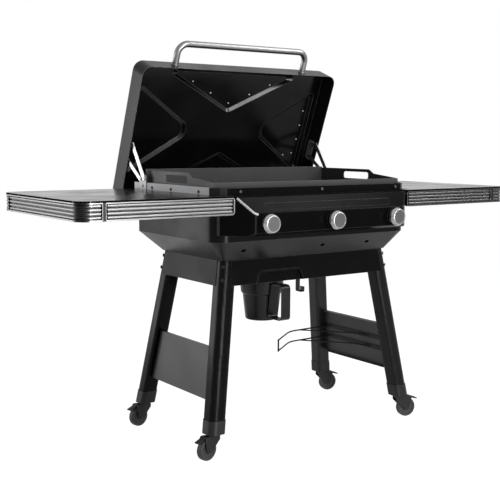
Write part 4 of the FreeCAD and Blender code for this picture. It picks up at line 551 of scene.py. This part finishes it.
def add_slab(shape, outline, low_y, high_y):
    """An outline of (x, z) points drawn out along Y."""
    near = [shape.verts.new((x, low_y, z)) for x, z in outline]
    far = [shape.verts.new((x, high_y, z)) for x, z in outline]
    count = len(outline)
    faces = [shape.faces.new(near), shape.faces.new(far[::-1])]
    for i in range(count):
        faces.append(shape.faces.new((near[i], far[i], far[(i + 1) % count],
                                      near[(i + 1) % count])))
    bmesh.ops.recalc_face_normals(shape, faces=faces)


def add_block(shape, x_range, y_range, z_range):
    (x_low, x_high), (z_low, z_high) = x_range, z_range
    add_slab(shape, [(x_low, z_low), (x_low, z_high), (x_high, z_high), (x_high, z_low)],
             *y_range)


def add_screws(name, spots, direction, radius, height, body, slot, look=None):
    """Low domed heads, each with a round recess for the driver."""
    well, sunk, seat = radius * 0.42, height * 0.35, SCREW_SEAT
    profile = [(0, seat), (radius, seat), (radius, sunk), (radius * 0.86, height * 0.8),
               (radius * 0.6, height), (well, height * 0.95), (well * 0.85, sunk), (0, sunk)]
    shape = bmesh.new()
    for spot in spots:
        add_lathe(shape, profile, spot, direction, SCREW_SIDES)
    add_piece(name, shape, body, slot, look)


# Control knobs: a plain face on each, with a thin raised rim, in a darker copy of the knob's
# metal as painted shade

KNOB_X = {"left": -0.288, "middle": 0.0, "right": 0.288}
KNOB_FRONT_Y, KNOB_Z = -0.4220, 0.808
KNOB_FACE_PROFILE = [(0, -0.0015), (0.0250, -0.0015), (0.0250, 0.00025), (0.0246, 0.0004),
                     (0.0236, 0.0004), (0.0233, 0.0001), (0, 0.0001)]


def add_knob_faces():
    for side, x in KNOB_X.items():
        shape = bmesh.new()
        add_lathe(shape, KNOB_FACE_PROFILE, (x, KNOB_FRONT_Y, KNOB_Z), FORWARD, KNOB_SIDES)
        add_piece("knob_face_shaded_" + side, shape, "dial_" + side, "knob_silver", KNOB_FACE_SHADE_LOOK)


# Lid: screws in the pockets of its lining, at (x, distance along the open lid)

LID_TURN = math.radians(69)
LID_EDGE = Vector((0, 0.146, 1.349))
LID_ALONG = Vector((0, math.cos(LID_TURN), -math.sin(LID_TURN)))
LID_DEEP = Vector((0, math.sin(LID_TURN), math.cos(LID_TURN)))
POCKET_FLOOR = 0.079
FRONT_POCKET_SCREWS = [(-0.186, 0.072), (-0.094, 0.116), (0, 0.156), (0.094, 0.116),
                       (0.186, 0.072)]
SIDE_POCKET_SCREWS = [(0.392, 0.180), (0.392, 0.244), (0.392, 0.308), (0.384, 0.372),
                      (0.340, 0.380)]
LID_SCREW_RADIUS, LID_SCREW_HEIGHT = 0.0032, 0.0016


def on_lid(x, along, deep):
    """A point of the open lid: from its front edge along it, and into its depth."""
    return LID_EDGE + Vector((x, 0, 0)) + LID_ALONG * along + LID_DEEP * deep


def add_lid_screws():
    spots = [on_lid(x, along, POCKET_FLOOR)
             for x, along in FRONT_POCKET_SCREWS + SIDE_POCKET_SCREWS]
    add_screws("lid_screws", spots, -LID_DEEP, LID_SCREW_RADIUS, LID_SCREW_HEIGHT, "lid",
               "zinc")


# Front band: three screws

BAND_SCREW_X = (-0.346, 0.009, 0.369)
BAND_FRONT_Y, BAND_SCREW_Z = -0.3118, 0.912
BAND_SCREW_RADIUS, BAND_SCREW_HEIGHT = 0.0052, 0.0012


def add_band_screws():
    spots = [(x, BAND_FRONT_Y, BAND_SCREW_Z) for x in BAND_SCREW_X]
    add_screws("band_screws", spots, FORWARD, BAND_SCREW_RADIUS, BAND_SCREW_HEIGHT,
               "station", "zinc", LOOKS["griddle_steel"])


# Control fascia: a rounded bead along the slope's two ends and round the corners, pale on the
# left as a painted highlight

FASCIA_TOP_Y, FASCIA_TOP_Z = -0.345, 0.895
FASCIA_FACE_Y, FASCIA_CREST_Z = -0.388, 0.843
FASCIA_TOP_X, FASCIA_CORNER_X = -0.386, -0.341
FASCIA_ROUND = 0.026
BEAD_SINK = Vector((0.0022, 0.0012, -0.0026))
BEAD_RADIUS = 0.0042
CORNER_STEPS = 8


def fascia_edge():
    """The line where the fascia's slope meets its angled end and round corner."""
    top = Vector((FASCIA_TOP_X, FASCIA_TOP_Y, 0))
    corner = Vector((FASCIA_CORNER_X, FASCIA_FACE_Y, 0))
    along = (corner - top).normalized()
    setback = FASCIA_ROUND * math.tan(math.acos(along.x) / 2)
    start = corner - along * setback
    centre = Vector((corner.x + setback, corner.y + FASCIA_ROUND, 0))
    plan = [tuple(top.lerp(start, i / CURVE_STEPS))[:2] for i in range(CURVE_STEPS + 1)]
    first = math.atan2(start.y - centre.y, start.x - centre.x)
    plan += arc(centre, FASCIA_ROUND, first, -HALF_PI, CORNER_STEPS)[1:]
    rise = (FASCIA_TOP_Z - FASCIA_CREST_Z) / (FASCIA_TOP_Y - FASCIA_FACE_Y)
    return [Vector((x, y, FASCIA_CREST_Z + (y - FASCIA_FACE_Y) * rise)) + BEAD_SINK
            for x, y in plan]


def add_fascia_beads():
    # The left bead is pale, a painted highlight; the right one has the fascia's black
    for name, side, look in (("left", 1, BEAD_HIGHLIGHT_LOOK), ("right", -1, LOOKS["fascia_paint"])):
        shape = bmesh.new()
        path = [Vector((spot.x * side, spot.y, spot.z)) for spot in fascia_edge()]
        add_bead(shape, path, BEAD_RADIUS)
        add_piece("fascia_bead_" + name, shape, "station", "fascia_paint", look)


# Shelves: slim arms in place of the plain ones

ARM_TOP_Z = 0.838
ARM_WALL_X, ARM_END_X = 0.441, 0.700
ARM_SHEET, ARM_FLANGE, ARM_HEEL = 0.0025, 0.022, 0.03
# Each arm's y, the height of its foot at the cook box and that of its tip
ARMS = ((-0.195, 0.8265, 0.8290), (0.125, 0.8000, 0.8240))


def add_shelf_arms():
    shape = bmesh.new()
    under = ARM_TOP_Z - ARM_SHEET
    for side in (-1, 1):
        wall, end = side * ARM_WALL_X, side * ARM_END_X
        for y, foot, tip in ARMS:
            add_slab(shape, [(wall, ARM_TOP_Z), (wall, foot), (wall + side * ARM_HEEL, foot),
                             (end, tip), (end, ARM_TOP_Z)], y, y + ARM_SHEET)
            flange = (y - ARM_FLANGE, y)
            add_block(shape, (wall, end), flange, (ARM_TOP_Z, under))
            add_block(shape, (wall, wall + side * ARM_SHEET), flange, (under, foot))
    arms = add_piece("shelf_arms", shape, "station", "box_paint")
    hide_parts("shelf_brackets")


# Shelf trims: black pieces as painted shade, in the gap of each, in the shadow gap above it
# and in the grooves at the ribs' ends

TRIM_LOW_Z, TRIM_HIGH_Z = 0.8383, 0.8957
TRIM_GAP_X, TRIM_GAP_HALF, TRIM_GAP_FLARE = 0.871, 0.0048, 0.0045
TRIM_GAP_Y = (-0.3503, -0.3420)
SHELF_START_X, SHELF_BACK_X, SHELF_END_X = 0.397, 0.441, 0.946
SHELF_FRONT_Y, SHELF_REAR_Y = -0.340, 0.252
SHELF_ROUND = 0.035
SHADOW_GAP_INNER, SHADOW_GAP_OUTER = 0.0080, 0.0103
SHADOW_GAP_LOW_Z, SHADOW_GAP_HIGH_Z = 0.8950, 0.9006
RIB_LOW_Z, RIB_HIGH_Z = 0.8432, 0.8908
RIB_END_X, RIB_END_HALF = (0.4020, 0.8625, 0.8795), 0.0022
RIB_END_Y = (-0.3498, -0.3449)
REAR_RIB_END_X, REAR_RIB_END_Y = (0.9509, 0.9558), (0.1960, 0.2040)


def add_trim_gap_shade():
    """Painted shade: a black channel with hollowed corners, standing for the gap between each
    front trim and its corner.
    """
    shape = bmesh.new()
    out = TRIM_GAP_HALF + TRIM_GAP_FLARE
    low, high = TRIM_LOW_Z + TRIM_GAP_FLARE, TRIM_HIGH_Z - TRIM_GAP_FLARE
    outline = []
    for quarter, centre in enumerate(((-out, low), (-out, high), (out, high), (out, low))):
        first = (quarter - 1) * HALF_PI
        outline += arc(centre, TRIM_GAP_FLARE, first, first + HALF_PI, FLARE_STEPS)
    for side in (-1, 1):
        add_slab(shape, [(side * (TRIM_GAP_X + x), z) for x, z in outline], *TRIM_GAP_Y)
    add_piece("trim_gap_shade", shape, "station", "black_plastic")


def shelf_edge(side, grow):
    """The shelf's edge in plan, from the cook box round both corners, grown outward."""
    radius, centre_x = SHELF_ROUND + grow, SHELF_END_X - SHELF_ROUND
    path = [(SHELF_START_X, SHELF_FRONT_Y - grow)]
    front_centre = (centre_x, SHELF_FRONT_Y + SHELF_ROUND)
    rear_centre = (centre_x, SHELF_REAR_Y - SHELF_ROUND)
    path += arc(front_centre, radius, -HALF_PI, 0, CURVE_STEPS)
    path += arc(rear_centre, radius, 0, HALF_PI, CURVE_STEPS)
    path.append((SHELF_BACK_X, SHELF_REAR_Y + grow))
    return [(side * x, y) for x, y in path]


# Painted shade: a black band round each shelf top's edge, where its shadow gap lies
def add_shelf_shadow_gaps():
    shape = bmesh.new()
    for side in (-1, 1):
        rings = [[shape.verts.new((x, y, z)) for x, y in shelf_edge(side, grow)]
                 for grow, z in ((SHADOW_GAP_INNER, SHADOW_GAP_LOW_Z), (SHADOW_GAP_OUTER, SHADOW_GAP_LOW_Z),
                                 (SHADOW_GAP_OUTER, SHADOW_GAP_HIGH_Z), (SHADOW_GAP_INNER, SHADOW_GAP_HIGH_Z))]
        faces = [shape.faces.new([ring[0] for ring in rings]),
                 shape.faces.new([ring[-1] for ring in rings][::-1])]
        for first, second in zip(rings, rings[1:] + rings[:1]):
            for i in range(len(first) - 1):
                faces.append(shape.faces.new((first[i], second[i], second[i + 1],
                                              first[i + 1])))
        bmesh.ops.recalc_face_normals(shape, faces=faces)
    add_piece("shelf_shadow_gaps", shape, "station", "wire_black", PAINTED_SHADE_LOOK)


# Painted shade: black blocks in the grooves at the ribs' ends
def add_rib_end_shade():
    shape = bmesh.new()
    heights = (RIB_LOW_Z, RIB_HIGH_Z)
    for side in (-1, 1):
        for x in RIB_END_X:
            add_block(shape, (side * x - RIB_END_HALF, side * x + RIB_END_HALF), RIB_END_Y,
                      heights)
        add_block(shape, [side * x for x in REAR_RIB_END_X], REAR_RIB_END_Y, heights)
    add_piece("rib_end_shade", shape, "station", "wire_black", PAINTED_SHADE_LOOK)


# Tank hook: a flat bar bent up at its foot, in place of the round hook

HOOK_TOP_Z, HOOK_TIP_Z = 0.672, 0.516
HOOK_Y = (-0.057, -0.033)
HOOK_THICK = 0.003
HEEL, HEEL_RADIUS = (0.120, 0.504), 0.008
TOE, TOE_RADIUS = (0.132, 0.502), 0.006


def hook_side(inset):
    """One side of the bent bar, from the top round the heel and the toe to the tip."""
    heel_radius, toe_radius = HEEL_RADIUS - inset, TOE_RADIUS - inset
    return ([(HEEL[0] - heel_radius, HOOK_TOP_Z)]
            + arc(HEEL, heel_radius, math.pi, math.pi + HALF_PI, CURVE_STEPS)
            + arc(TOE, toe_radius, -HALF_PI, 0, CURVE_STEPS)
            + [(TOE[0] + toe_radius, HOOK_TIP_Z)])


def add_tank_hook():
    shape = bmesh.new()
    add_slab(shape, hook_side(0) + hook_side(HOOK_THICK)[::-1], *HOOK_Y)
    hook = add_piece("tank_hook_bar", shape, "station", "wire_black")
    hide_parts("tank_hook")


aim_camera()
set_room()
add_floor()
for lamp_settings in LAMPS:
    add_lamp(*lamp_settings)
dress_frame()
add_knob_faces()
add_lid_screws()
add_fascia_beads()
add_shelf_arms()
add_tank_hook()
add_trim_gap_shade()
add_shelf_shadow_gaps()
add_rib_end_shade()
add_band_screws()
